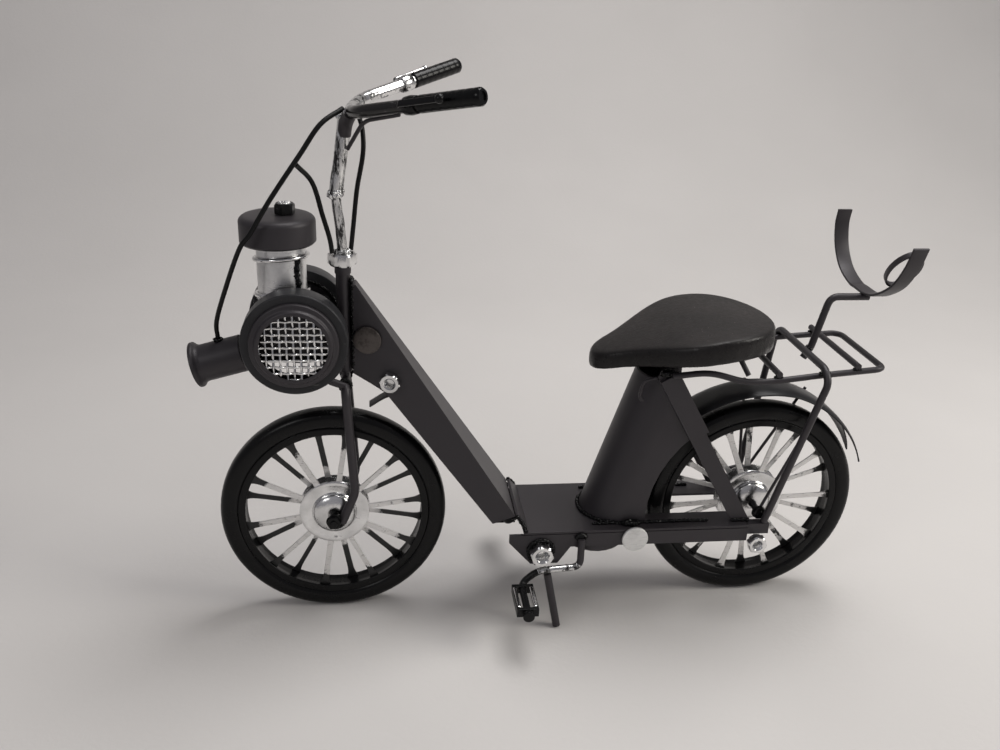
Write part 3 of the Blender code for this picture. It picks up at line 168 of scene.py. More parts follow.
class MopedSizes(bpy.types.PropertyGroup):
    spokes_a_side: IntProperty(name="Spokes a Side", description="Flat spokes in each row of a wheel",
                               default=10,
                               min=4)
    spoke_width: FloatProperty(name="Spoke Width", description="Width of a flat spoke", default=0.0029,
                               unit="LENGTH")
    grille_pitch: FloatProperty(name="Grille Pitch", description="From wire to wire of the drum grilles",
                                default=0.0034, unit="LENGTH")
    grille_wire: FloatProperty(name="Grille Wire", description="Thickness of the grille's wire",
                               default=0.0012,
                               unit="LENGTH")
    bead_size: FloatProperty(name="Weld Bead", description="Width of one weld bead", default=0.0018,
                             unit="LENGTH")
    rod_sides: IntProperty(name="Rod Sides", description="Sides of a bent rod's section", default=20, min=6)
    edge: FloatProperty(name="Sheet Edge", description="Radius of the sheet metal's edges", default=0.0003,
                        unit="LENGTH")


class MopedColours(bpy.types.PropertyGroup):
    enamel: FloatVectorProperty(name="Enamel", description="Black paint of the frame", subtype="COLOR",
                                default=(0.0035, 0.0035, 0.0038))
    silver: FloatVectorProperty(name="Silver", description="Silver of the wheels", subtype="COLOR",
                                default=(0.78, 0.77, 0.76))
    chrome: FloatVectorProperty(name="Chrome", description="Plated nuts and bars", subtype="COLOR",
                                default=(0.84, 0.84, 0.84))
    vinyl: FloatVectorProperty(name="Vinyl", description="Cover of the seat", subtype="COLOR",
                               default=(0.009, 0.008, 0.008))
    dust: FloatProperty(name="Dust", description="Share of the seat that holds specks", subtype="FACTOR",
                        default=0.35, min=0.0, max=1.0)


class MopedStage(bpy.types.PropertyGroup):
    camera_place: FloatVectorProperty(name="Camera Place", description="Where the camera stands",
                                      subtype="TRANSLATION", default=(0.09207, 0.47432, 0.34697))
    camera_turn: FloatProperty(name="Camera Turn", description="Turn away from the moped's left side",
                               subtype="ANGLE", default=math.radians(7.91))
    camera_dip: FloatProperty(name="Camera Dip", description="How far the camera looks down", subtype="ANGLE",
                              default=math.radians(23.06))
    camera_roll: FloatProperty(name="Camera Roll", description="Tilt of the camera about its view",
                               subtype="ANGLE",
                               default=math.radians(2.39))
    lens: FloatProperty(name="Lens", description="Focal length in millimetres", default=34.39)
    floor: FloatVectorProperty(name="Floor", description="Colour of the paper", subtype="COLOR",
                               default=(0.62, 0.60, 0.585))


# Helpers that draw shapes

def arc(centre, radius, start, end, steps):
    """Points of an arc, with its angles in degrees."""
    turns = [math.radians(start + (end - start) * i / steps) for i in range(steps + 1)]
    return [(centre[0] + radius * math.cos(t), centre[1] + radius * math.sin(t)) for t in turns]


def in_space(a, b, along, axis):
    """A point from two numbers across an axis and one along it."""
    if axis == "X":
        return (along, a, b)
    if axis == "Y":
        return (a, along, b)
    return (a, b, along)


def prism(outline, axis, low, high):
    """A flat outline pushed along an axis."""
    shape = bmesh.new()
    ends = [[shape.verts.new(in_space(a, b, along, axis)) for a, b in outline] for along in (low, high)]
    shape.faces.new(ends[0])
    shape.faces.new(reversed(ends[1]))
    for i in range(len(outline)):
        j = (i + 1) % len(outline)
        shape.faces.new((ends[0][i], ends[0][j], ends[1][j], ends[1][i]))
    return shape


def turned(profile, axis, centre, steps, ring=False):
    """A profile of (radius, along) turned about an axis. A radius may be a function of the angle."""
    shape = bmesh.new()
    across = [c for c, name in zip(centre, "XYZ") if name != axis]
    base = centre["XYZ".index(axis)]
    loops = []
    for step in range(steps):
        turn = 2 * math.pi * step / steps
        loop = []
        for radius, along in profile:
            r = radius(turn) if callable(radius) else radius
            a, b = across[0] + r * math.cos(turn), across[1] + r * math.sin(turn)
            loop.append(shape.verts.new(in_space(a, b, base + along, axis)))
        loops.append(loop)
    last = len(profile) if ring else len(profile) - 1
    for step in range(steps):
        here, after = loops[step], loops[(step + 1) % steps]
        for i in range(last):
            j = (i + 1) % len(profile)
            shape.faces.new((here[i], here[j], after[j], after[i]))
    bmesh.ops.remove_doubles(shape, verts=shape.verts, dist=1e-4)
    bmesh.ops.dissolve_degenerate(shape, edges=shape.edges, dist=1e-4)
    return shape


def softened(profile, reach, closed=False, steps=4):
    """A profile with each corner rounded off, by no more than reach from the corner."""
    points = [Vector(p) for p in profile]
    count = len(points)
    made = []
    for i, corner in enumerate(points):
        if not closed and i in (0, count - 1):
            made.append(corner)
            continue
        back, on = points[i - 1] - corner, points[(i + 1) % count] - corner
        cut = min(reach, back.length * 0.45, on.length * 0.45)
        start, end = corner + back.normalized() * cut, corner + on.normalized() * cut
        for k in range(steps + 1):
            t = k / steps
            made.append(start * (1 - t) ** 2 + corner * (2 * t * (1 - t)) + end * t ** 2)
    return [tuple(p) for p in made]


def bent(points, radius, steps=8):
    """A path in space with its inner corners rounded off."""
    return [Vector(p) for p in softened(points, radius, False, steps)]


def flowing(points, steps=8):
    """A smooth path through all of the points."""
    places = [Vector(p) for p in points]
    padded = [places[0] * 2 - places[1], *places, places[-1] * 2 - places[-2]]
    path = []
    for a, b, c, d in zip(padded, padded[1:], padded[2:], padded[3:]):
        for i in range(steps):
            t = i / steps
            path.append(0.5 * (2 * b + (c - a) * t + (2 * a - 5 * b + 4 * c - d) * t ** 2
                               + (3 * b - a - 3 * c + d) * t ** 3))
    path.append(places[-1])
    return path


def swept(path, section, side):
    """A closed section of (across, up) offsets carried along a path, with flat ends."""
    path = [Vector(p) for p in path]
    shape = bmesh.new()
    rings = []
    across = Vector(side)
    for i, place in enumerate(path):
        back = (place - path[i - 1]).normalized() if i else (path[1] - place).normalized()
        on = (path[i + 1] - place).normalized() if i + 1 < len(path) else back
        along = (back + on).normalized()
        across = (across - along * across.dot(along)).normalized()
        up = along.cross(across)
        rings.append([shape.verts.new(place + across * a + up * b) for a, b in section])
    for before, after in zip(rings, rings[1:]):
        for i in range(len(section)):
            j = (i + 1) % len(section)
            shape.faces.new((before[i], before[j], after[j], after[i]))
    shape.faces.new(rings[0])
    shape.faces.new(reversed(rings[-1]))
    return shape


def flat_section(width, thickness):
    w, t = width / 2, thickness / 2
    return softened([(-w, -t), (w, -t), (w, t), (-w, t)], thickness * 0.4, True, 3)


def mirrored(points):
    return [(x, -y, z) for x, y, z in points]


def both_sides(points):
    """A path from the left side over to its mirror on the right."""
    points = [tuple(p) for p in points]
    return points + mirrored(reversed(points))


def six_sided(flats, turn=0.0):
    """The distance from a hexagon's middle to its edge, as a function of the angle."""
    sixth = math.pi / 3
    return lambda angle: flats / 2 / math.cos((angle - math.radians(turn)) % sixth - sixth / 2)


def nut_profile(flats, height, bore, turn=0.0, deep=None):
    """A chamfered hexagon with a threaded hole that ends in the dark."""
    hexagon = six_sided(flats, turn)
    chamfer, floor = height * 0.14, height * 0.25 if deep is None else deep
    rounded_face = flats * 0.485
    profile = [(0, 0), (rounded_face, 0), (hexagon, chamfer), (hexagon, height - chamfer),
               (rounded_face, height),
               (bore + 0.6, height), (bore, height - 0.5)]
    level = height - 0.8
    while level > floor + 0.6:
        profile += [(bore + 0.22, level), (bore, level - 0.3)]
        level -= 0.6
    return profile + [(bore * 0.9, floor), (0, floor)]


def along(a, b, distance):
    """The point at a distance from b towards a."""
    a, b = Vector(a), Vector(b)
    return b + (a - b).normalized() * distance


# Helpers that make pieces

def colours():
    return bpy.context.scene.moped_colours


def sizes():
    return bpy.context.scene.moped_sizes


def place_mesh(name, mesh, finish, body, nodes=(), bevel=0.0, sharp=35.0):
    """Shades a mesh that lies in the frame's metres, and puts it on its body for the nodes it stands for."""
    mesh.name = name
    mesh.materials.clear()
    mesh.materials.append(bpy.data.materials[finish])
    mesh.shade_smooth()
    mesh.set_sharp_from_angle(angle=math.radians(sharp))
    obj = bpy.data.objects.new(name, mesh)
    bpy.context.scene.collection.objects.link(obj)
    if bevel:
        edge = obj.modifiers.new("edge", "BEVEL")
        edge.width = bevel
        edge.segments = 2
        edge.limit_method = "ANGLE"
        edge.angle_limit = math.radians(32)
        edge.harden_normals = True
    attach(obj, body)
    if nodes:
        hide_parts(*nodes)
    return obj


def piece(name, shape, finish, body, nodes=(), bevel=0.0, sharp=35.0):
    """Makes a piece of a bmesh drawn in millimetres."""
    bmesh.ops.remove_doubles(shape, verts=shape.verts, dist=1e-4)
    bmesh.ops.recalc_face_normals(shape, faces=shape.faces)
    shape.transform(TO_ROW)
    mesh = bpy.data.meshes.new(name)
    shape.to_mesh(mesh)
    shape.free()
    return place_mesh(name, mesh, finish, body, nodes, bevel, sharp)


def from_node(node, finish, body, bevel=None):
    """A welded and smoothed copy of a frame node, with its sheet edges rounded."""
    shape = bmesh.new()
    shape.from_mesh(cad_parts[node].data)
    bmesh.ops.remove_doubles(shape, verts=shape.verts, dist=2e-6)
    bmesh.ops.dissolve_limit(shape, angle_limit=math.radians(0.3), verts=shape.verts, edges=shape.edges)
    mesh = bpy.data.meshes.new(node + "_fine")
    shape.to_mesh(mesh)
    shape.free()
    return place_mesh(node + "_fine", mesh, finish, body, (node,), sizes().edge if bevel is None else bevel)


# Geometry Nodes helpers

def join(tree, value, socket):
    if isinstance(value, bpy.types.NodeSocket):
        tree.links.new(value, socket)
    else:
        socket.default_value = value


def add(tree, kind, inputs=None, output=0, **settings):
    """Adds a node and returns one of its outputs. Inputs are given by name or number."""
    made = tree.nodes.new(kind)
    for key, value in settings.items():
        setattr(made, key, value)
    for key, value in (inputs or {}).items():
        join(tree, value, made.inputs[key])
    return made.outputs[output]


def new_tree(name, inputs):
    """A tree with named inputs; returns it with a dictionary of their sockets."""
    tree = bpy.data.node_groups.new(name, "GeometryNodeTree")
    tree.interface.new_socket("Geometry", in_out="INPUT", socket_type="NodeSocketGeometry")
    for label, kind in inputs:
        tree.interface.new_socket(label, in_out="INPUT", socket_type="NodeSocket" + kind)
    tree.interface.new_socket("Geometry", in_out="OUTPUT", socket_type="NodeSocketGeometry")
    start = tree.nodes.new("NodeGroupInput")
    return tree, {socket.name: socket for socket in start.outputs if socket.name}


def end_tree(tree, geometry, material):
    real = add(tree, "GeometryNodeRealizeInstances", {0: geometry})
    coated = add(tree, "GeometryNodeSetMaterial", {"Geometry": real, "Material": material})
    end = tree.nodes.new("NodeGroupOutput")
    tree.links.new(coated, end.inputs[0])
    return tree


def grown(tree, base, values):
    """Runs a tree on a mesh and returns what it makes as a plain mesh."""
    obj = bpy.data.objects.new(tree.name + "_base", base)
    bpy.context.scene.collection.objects.link(obj)
    modifier = obj.modifiers.new(tree.name, "NODES")
    modifier.node_group = tree
    for item in tree.interface.items_tree:
        if item.in_out == "INPUT" and item.name in values:
            modifier[item.identifier] = values[item.name]
    graph = bpy.context.evaluated_depsgraph_get()
    mesh = bpy.data.meshes.new_from_object(obj.evaluated_get(graph), depsgraph=graph)
    obj.modifiers.remove(modifier)
    bpy.data.objects.remove(obj)
    return mesh


def line_mesh(path):
    """A row of edges along a path drawn in millimetres."""
    mesh = bpy.data.meshes.new("path")
    points = [TO_ROW @ Vector(p) for p in path]
    mesh.from_pydata(points, [(i, i + 1) for i in range(len(points) - 1)], [])
    return mesh


def math_of(tree, operation, *values):
    return add(tree, "ShaderNodeMath", dict(enumerate(values)), operation=operation)


def rod_tree():
    """A round rod along a path, a little uneven as hand-bent wire is."""
    tree, given = new_tree("Bent rod", (("Diameter", "Float"), ("Sides", "Int"), ("Lumps", "Float"),
                                        ("Lump Scale", "Float"), ("Seed", "Int"), ("Material", "Material")))
    curve = add(tree, "GeometryNodeMeshToCurve", {0: given["Geometry"]})
    radius = math_of(tree, "DIVIDE", given["Diameter"], 2.0)
    ring = add(tree, "GeometryNodeCurvePrimitiveCircle", {"Resolution": given["Sides"], "Radius": radius})
    tube = add(tree, "GeometryNodeCurveToMesh", {"Curve": curve, "Profile Curve": ring, "Fill Caps": True})
    noise = add(tree, "ShaderNodeTexNoise", {"W": given["Seed"], "Scale": given["Lump Scale"], "Detail": 2.0},
                noise_dimensions="4D")
    centred = math_of(tree, "SUBTRACT", noise, 0.5)
    height = math_of(tree, "MULTIPLY", centred, given["Lumps"])
    normal = add(tree, "GeometryNodeInputNormal")
    offset = add(tree, "ShaderNodeVectorMath", {0: normal, "Scale": height}, operation="SCALE")
    lumpy = add(tree, "GeometryNodeSetPosition", {"Geometry": tube, "Offset": offset})
    return end_tree(tree, lumpy, given["Material"])


def weld_tree():
    """A row of overlapping beads along a path."""
    tree, given = new_tree("Weld bead", (("Size", "Float"), ("Spacing", "Float"), ("Seed", "Int"),
                                         ("Material", "Material")))
    curve = add(tree, "GeometryNodeMeshToCurve", {0: given["Geometry"]})
    row = tree.nodes.new("GeometryNodeCurveToPoints")
    row.mode = "LENGTH"
    tree.links.new(curve, row.inputs["Curve"])
    tree.links.new(given["Spacing"], row.inputs["Length"])
    radius = math_of(tree, "DIVIDE", given["Size"], 2.0)
    bead = add(tree, "GeometryNodeMeshIcoSphere", {"Radius": radius, "Subdivisions": 3})
    spread = add(tree, "FunctionNodeRandomValue", {0: (0.65, 0.75, 0.75), 1: (1.1, 1.25, 1.25),
                                                   "Seed": given["Seed"]}, data_type="FLOAT_VECTOR")
    beads = add(tree, "GeometryNodeInstanceOnPoints", {"Points": row.outputs["Points"], "Instance": bead,
                                                       "Rotation": row.outputs["Rotation"], "Scale": spread})
    real = add(tree, "GeometryNodeRealizeInstances", {0: beads})
    noise = add(tree, "ShaderNodeTexNoise", {"Scale": 900.0, "Detail": 1.0}, output=1)
    centred = add(tree, "ShaderNodeVectorMath", {0: noise, 1: (0.5, 0.5, 0.5)}, operation="SUBTRACT")
    rough = math_of(tree, "MULTIPLY", given["Size"], 0.5)
    offset = add(tree, "ShaderNodeVectorMath", {0: centred, "Scale": rough}, operation="SCALE")
    moved = add(tree, "GeometryNodeSetPosition", {"Geometry": real, "Offset": offset})
    return end_tree(tree, moved, given["Material"])


def spoke_tree():
    """A ring of flat spokes that widen where they meet the rim and the hub."""
    tree, given = new_tree("Spoke row", (
        ("Count", "Int"), ("Root", "Float"), ("Tip", "Float"), ("Width", "Float"), ("Thickness", "Float"),
        ("Turn", "Float"), ("Wobble", "Float"), ("Flare", "Float"), ("Centre", "Vector"), ("Seed", "Int"),
        ("Material", "Material")))
    length = math_of(tree, "SUBTRACT", given["Tip"], given["Root"])
    size = add(tree, "ShaderNodeCombineXYZ", {0: length, 1: given["Thickness"], 2: given["Width"]})
    bar = add(tree, "GeometryNodeMeshCube",
              {"Size": size, "Vertices X": 18, "Vertices Y": 2, "Vertices Z": 3})
    where = add(tree, "GeometryNodeInputPosition")
    parts = tree.nodes.new("ShaderNodeSeparateXYZ")
    tree.links.new(where, parts.inputs[0])
    share = math_of(tree, "DIVIDE", parts.outputs[0], length)
    out = math_of(tree, "ADD", share, 0.5)
    at_rim = math_of(tree, "POWER", out, 14.0)
    inner = math_of(tree, "SUBTRACT", 0.5, share)
    at_hub = math_of(tree, "POWER", inner, 16.0)
    flare = math_of(tree, "ADD", at_rim, math_of(tree, "MULTIPLY", at_hub, 0.7))
    widen = math_of(tree, "MULTIPLY", math_of(tree, "MULTIPLY", flare, given["Flare"]), parts.outputs[2])
    offset = add(tree, "ShaderNodeCombineXYZ", {2: widen})
    shaped = add(tree, "GeometryNodeSetPosition", {"Geometry": bar, "Offset": offset})
    middle = math_of(tree, "DIVIDE", math_of(tree, "ADD", given["Tip"], given["Root"]), 2.0)
    shift = add(tree, "ShaderNodeCombineXYZ", {0: middle})
    moved = add(tree, "GeometryNodeTransform", {"Geometry": shaped, "Translation": shift})
    points = add(tree, "GeometryNodePoints", {"Count": given["Count"]})
    index = add(tree, "GeometryNodeInputIndex")
    step = math_of(tree, "DIVIDE", 2 * math.pi, given["Count"])
    jitter = add(tree, "FunctionNodeRandomValue", {2: -1.0, 3: 1.0, "Seed": given["Seed"]}, output=1)
    angle = math_of(tree, "MULTIPLY_ADD", index, step, given["Turn"])
    angle = math_of(tree, "MULTIPLY_ADD", jitter, given["Wobble"], angle)
    spin = add(tree, "ShaderNodeCombineXYZ", {1: angle})
    width = add(tree, "FunctionNodeRandomValue", {2: 0.88, 3: 1.12, "Seed": given["Seed"], "ID": index},
                output=1)
    scale = add(tree, "ShaderNodeCombineXYZ", {0: 1.0, 1: 1.0, 2: width})
    ring = add(tree, "GeometryNodeInstanceOnPoints", {"Points": points, "Instance": moved, "Rotation": spin,
                                                      "Scale": scale})
    there = add(tree, "GeometryNodeTransform", {"Geometry": ring, "Translation": given["Centre"]})
    return end_tree(tree, there, given["Material"])


def grille_tree():
    """A round piece of woven wire mesh."""
    tree, given = new_tree("Wire grille", (
        ("Radius", "Float"), ("Pitch", "Float"), ("Wire", "Float"), ("Weave", "Float"), ("Centre", "Vector"),
        ("Material", "Material")))
    half_count = math_of(tree, "FLOOR", math_of(tree, "DIVIDE", given["Radius"], given["Pitch"]))
    count = math_of(tree, "MULTIPLY_ADD", half_count, 2.0, 1.0)
    index = add(tree, "GeometryNodeInputIndex")
    x = math_of(tree, "MULTIPLY", math_of(tree, "SUBTRACT", index, half_count), given["Pitch"])
    place = add(tree, "ShaderNodeCombineXYZ", {0: x})
    points = add(tree, "GeometryNodePoints", {"Count": count, "Position": place})
    radius_squared = math_of(tree, "MULTIPLY", given["Radius"], given["Radius"])
    chord = math_of(tree, "SQRT", math_of(tree, "SUBTRACT", radius_squared, math_of(tree, "MULTIPLY", x, x)))
    line = add(tree, "GeometryNodeCurvePrimitiveLine", {"Start": (0.0, 0.0, -1.0), "End": (0.0, 0.0, 1.0)})
    fine = add(tree, "GeometryNodeResampleCurve", {"Curve": line, "Count": 61})
    scale = add(tree, "ShaderNodeCombineXYZ", {0: 1.0, 1: 1.0, 2: chord})
    wires = add(tree, "GeometryNodeInstanceOnPoints", {"Points": points, "Instance": fine, "Scale": scale})
    real = add(tree, "GeometryNodeRealizeInstances", {0: wires})
    crossing = add(tree, "GeometryNodeTransform", {"Geometry": real, "Rotation": (0.0, math.pi / 2, 0.0)})
    where = add(tree, "GeometryNodeInputPosition")
    parts = tree.nodes.new("ShaderNodeSeparateXYZ")
    tree.links.new(where, parts.inputs[0])
    phase = math_of(tree, "ADD", parts.outputs[0], parts.outputs[2])
    phase = math_of(tree, "MULTIPLY", math_of(tree, "DIVIDE", phase, given["Pitch"]), math.pi)
    over = math_of(tree, "MULTIPLY", math_of(tree, "COSINE", phase), given["Weave"])
    under = math_of(tree, "MULTIPLY", over, -1.0)
    thin = math_of(tree, "DIVIDE", given["Wire"], 2.0)
    ring = add(tree, "GeometryNodeCurvePrimitiveCircle", {"Resolution": 7, "Radius": thin})
    both = tree.nodes.new("GeometryNodeJoinGeometry")
    for lines, lift in ((real, over), (crossing, under)):
        offset = add(tree, "ShaderNodeCombineXYZ", {1: lift})
        waved = add(tree, "GeometryNodeSetPosition", {"Geometry": lines, "Offset": offset})
        tube = add(tree, "GeometryNodeCurveToMesh",
                   {"Curve": waved, "Profile Curve": ring, "Fill Caps": True})
        tree.links.new(tube, both.inputs[0])
    there = add(tree, "GeometryNodeTransform", {"Geometry": both.outputs[0], "Translation": given["Centre"]})
    return end_tree(tree, there, given["Material"])


def tree_named(name):
    makers = {"Bent rod": rod_tree, "Weld bead": weld_tree, "Spoke row": spoke_tree,
              "Wire grille": grille_tree}
    return bpy.data.node_groups.get(name) or makers[name]()


def rod(name, path, diameter, finish, body, nodes=(), lumps=0.05, lump_scale=90.0, seed=1):
    """A round rod along a path in millimetres; lumps is how far its surface strays."""
    mesh = grown(tree_named("Bent rod"), line_mesh(path), {
        "Diameter": diameter * MM, "Sides": sizes().rod_sides, "Lumps": lumps * MM, "Lump Scale": lump_scale,
        "Seed": seed, "Material": bpy.data.materials[finish]})
    return place_mesh(name, mesh, finish, body, nodes)


def weld(name, path, body, size=1.0, finish="weld_black", seed=3):
    """Weld beads along a path in millimetres, their size a share of the usual bead."""
    bead = sizes().bead_size * size
    mesh = grown(tree_named("Weld bead"), line_mesh(path), {
        "Size": bead, "Spacing": bead * 0.45, "Seed": seed, "Material": bpy.data.materials[finish]})
    return place_mesh(name, mesh, finish, body, (), 0.0, 80.0)


# Materials

def new_material(name, colour, roughness, metallic=0.0):
    """A material with its shader and the piece's own coordinates."""
    material = bpy.data.materials.new(name)
    material.use_nodes = True
    tree = material.node_tree
    shader = tree.nodes["Principled BSDF"]
    shader.inputs["Base Color"].default_value = (*colour, 1.0)
    shader.inputs["Roughness"].default_value = roughness
    shader.inputs["Metallic"].default_value = metallic
    return tree, shader, add(tree, "ShaderNodeTexCoord", output=3)


def mapped(tree, where, centre=(0.0, 0.0, 0.0), scale=(1.0, 1.0, 1.0), turn=(0.0, 0.0, 0.0)):
    shift = tuple(-c * s for c, s in zip(centre, scale))
    return add(tree, "ShaderNodeMapping",
               {"Vector": where, "Location": shift, "Rotation": turn, "Scale": scale})


def noise(tree, where, scale, detail=3.0, roughness=0.55):
    return add(tree, "ShaderNodeTexNoise", {"Vector": where, "Scale": scale, "Detail": detail,
                                            "Roughness": roughness})


def between(tree, value, low, high, bottom=0.0, top=1.0):
    """The value spread from low..high to bottom..top, and held there outside."""
    return add(tree, "ShaderNodeMapRange", {0: value, 1: low, 2: high, 3: bottom, 4: top})


def blend(tree, factor, a, b):
    """One colour turning into another."""
    a, b = [(*c, 1.0) if isinstance(c, tuple) and len(c) == 3 else c for c in (a, b)]
    return add(tree, "ShaderNodeMix", {0: factor, 6: a, 7: b}, output=2, data_type="RGBA")


def bump(tree, shader, height, distance, strength=1.0):
    made = add(tree, "ShaderNodeBump", {"Height": height, "Distance": distance, "Strength": strength})
    join(tree, made, shader.inputs["Normal"])


def shade(colour, share):
    return tuple(c * share for c in colour)


def enamel(name, tone=1.0, gloss=(0.15, 0.32), dust=0.4, scuffs=0.2, peel=0.5):
    """Sprayed black paint: cloudy gloss, orange peel, specks of dust and rubbed places."""
    colour = tuple(colours().enamel)
    tree, shader, where = new_material(name, colour, gloss[0])
    shader.inputs["Specular IOR Level"].default_value = 0.20
    cloud = noise(tree, where, 38.0, 5.0)
    tint = blend(tree, between(tree, cloud, 0.35, 0.7), shade(colour, tone), shade(colour, tone * 1.6))
    streak = noise(tree, mapped(tree, where, scale=(60.0, 60.0, 220.0), turn=(0.3, 0.5, 0.0)), 1.0, 6.0, 0.7)
    rubbed = between(tree, streak, 0.70 - 0.08 * scuffs, 0.80, 0.0, scuffs)
    tint = blend(tree, rubbed, tint, (0.16, 0.155, 0.15))
    grain = noise(tree, where, 1300.0, 1.0)
    specks = between(tree, grain, 0.80 - 0.05 * dust, 0.84, 0.0, dust)
    tint = blend(tree, specks, tint, (0.30, 0.28, 0.26))
    join(tree, tint, shader.inputs["Base Color"])
    rough = between(tree, cloud, 0.3, 0.75, *gloss)
    rough = math_of(tree, "MAXIMUM", rough, math_of(tree, "MULTIPLY", rubbed, 0.7))
    join(tree, rough, shader.inputs["Roughness"])
    skin = noise(tree, where, 330.0, 2.0)
    bump(tree, shader, math_of(tree, "ADD", skin, math_of(tree, "MULTIPLY", specks, 0.6)), 0.00012 * peel,
         0.6)


def spoke_silver(name, centre, overrun_and_shade_from, blotch_and_shade_share, plane):
    """Brushed silver paint on a wheel, blacked where the tyre's paint ran over it and in blotches; on a far
    row the blacking reaches further in and the blotches spread, as painted shade.
    """
    silver = tuple(colours().silver)
    tree, shader, where = new_material(name, silver, 0.36, 1.0)
    local = mapped(tree, where, centre)
    parts = tree.nodes.new("ShaderNodeSeparateXYZ")
    tree.links.new(local, parts.inputs[0])
    flat = add(tree, "ShaderNodeCombineXYZ", {0: parts.outputs[0], 2: parts.outputs[2]})
    radius = add(tree, "ShaderNodeVectorMath", {0: flat}, output=1, operation="LENGTH")
    # Black from the rim inwards and in blotches: the tyre's paint overrun and real blotches, and on a far
    # row, where both reach further, painted shade.
    ragged = noise(tree, where, 210.0, 5.0, 0.75)
    edge = math_of(tree, "MULTIPLY_ADD", ragged, 0.016, radius)
    overrun_and_shade_black = between(tree, edge, overrun_and_shade_from * MM + 0.0065, overrun_and_shade_from * MM + 0.0085)
    blotch = noise(tree, where, 120.0, 6.0, 0.8)
    away = between(tree, radius, 0.021, 0.034)
    blotch_and_shade_spots = math_of(tree, "MULTIPLY", between(tree, blotch, 0.66 - blotch_and_shade_share * 0.3, 0.70 - blotch_and_shade_share * 0.3),
                    away)
    side = between(tree, math_of(tree, "MULTIPLY", parts.outputs[1], plane), 0.0005, 0.0015)
    black = math_of(tree, "MAXIMUM", overrun_and_shade_black, blotch_and_shade_spots)
    black = math_of(tree, "MAXIMUM", black, math_of(tree, "SUBTRACT", 1.0, side))
    scratch = noise(tree, mapped(tree, where, scale=(240.0, 240.0, 900.0), turn=(0.0, 0.6, 0.0)), 1.0, 6.0,
                    0.8)
    worn = between(tree, scratch, 0.56, 0.66)
    dull = blend(tree, worn, silver, (0.26, 0.25, 0.245))
    dark = between(tree, scratch, 0.67, 0.72)
    join(tree, blend(tree, math_of(tree, "MAXIMUM", black, dark), dull, (0.010, 0.010, 0.010)),
         shader.inputs["Base Color"])
    join(tree, between(tree, black, 0.0, 1.0, 0.85, 0.0), shader.inputs["Metallic"])
    join(tree, between(tree, ragged, 0.3, 0.8, 0.26, 0.52), shader.inputs["Roughness"])
    bump(tree, shader, math_of(tree, "ADD", scratch, blotch), 0.00025, 0.7)


def chrome(name, stains, gloss=(0.06, 0.22), black_side=None, stretch=(140.0, 140.0, 140.0)):
    """Thin plating with dark stains; beyond black_side, in Y, it is painted over."""
    bright = tuple(colours().chrome)
    tree, shader, where = new_material(name, bright, gloss[0], 1.0)
    blotch = noise(tree, mapped(tree, where, scale=stretch), 1.0, 6.0, 0.72)
    stain = between(tree, blotch, 0.66 - 0.28 * stains, 0.72 - 0.26 * stains)
    if black_side is not None:
        parts = tree.nodes.new("ShaderNodeSeparateXYZ")
        tree.links.new(where, parts.inputs[0])
        edge = math_of(tree, "MULTIPLY_ADD", blotch, 0.012, parts.outputs[1])
        painted = between(tree, edge, black_side * MM + 0.006, black_side * MM + 0.0065)
        chipped = between(tree, noise(tree, where, 300.0, 6.0, 0.8), 0.63, 0.66, 1.0, 0.0)
        stain = math_of(tree, "MAXIMUM", stain, math_of(tree, "MULTIPLY", painted, chipped))
    haze = between(tree, noise(tree, where, 90.0, 4.0), 0.35, 0.7)
    tint = blend(tree, haze, bright, shade(bright, 0.72))
    join(tree, blend(tree, stain, tint, (0.014, 0.013, 0.013)), shader.inputs["Base Color"])
    join(tree, between(tree, stain, 0.0, 1.0, 1.0, 0.15), shader.inputs["Metallic"])
    join(tree, between(tree, blotch, 0.3, 0.75, *gloss), shader.inputs["Roughness"])
    bump(tree, shader, blotch, 0.0003, 0.55)


def disc_metal(name, colour, blotch_colour, roughness):
    """A plain sheet disc, ground by hand."""
    tree, shader, where = new_material(name, colour, roughness, 0.75)
    cloud = noise(tree, where, 160.0, 6.0, 0.7)
    lines = noise(tree, mapped(tree, where, scale=(300.0, 300.0, 2400.0), turn=(0.0, 0.4, 0.0)), 1.0, 3.0)
    tint = blend(tree, between(tree, cloud, 0.46, 0.66), colour, blotch_colour)
    join(tree, blend(tree, between(tree, lines, 0.5, 0.8, 0.0, 0.4), tint, shade(colour, 0.5)),
         shader.inputs["Base Color"])
    join(tree, between(tree, cloud, 0.3, 0.7, roughness - 0.08, roughness + 0.12), shader.inputs["Roughness"])
    bump(tree, shader, lines, 0.00008, 0.6)


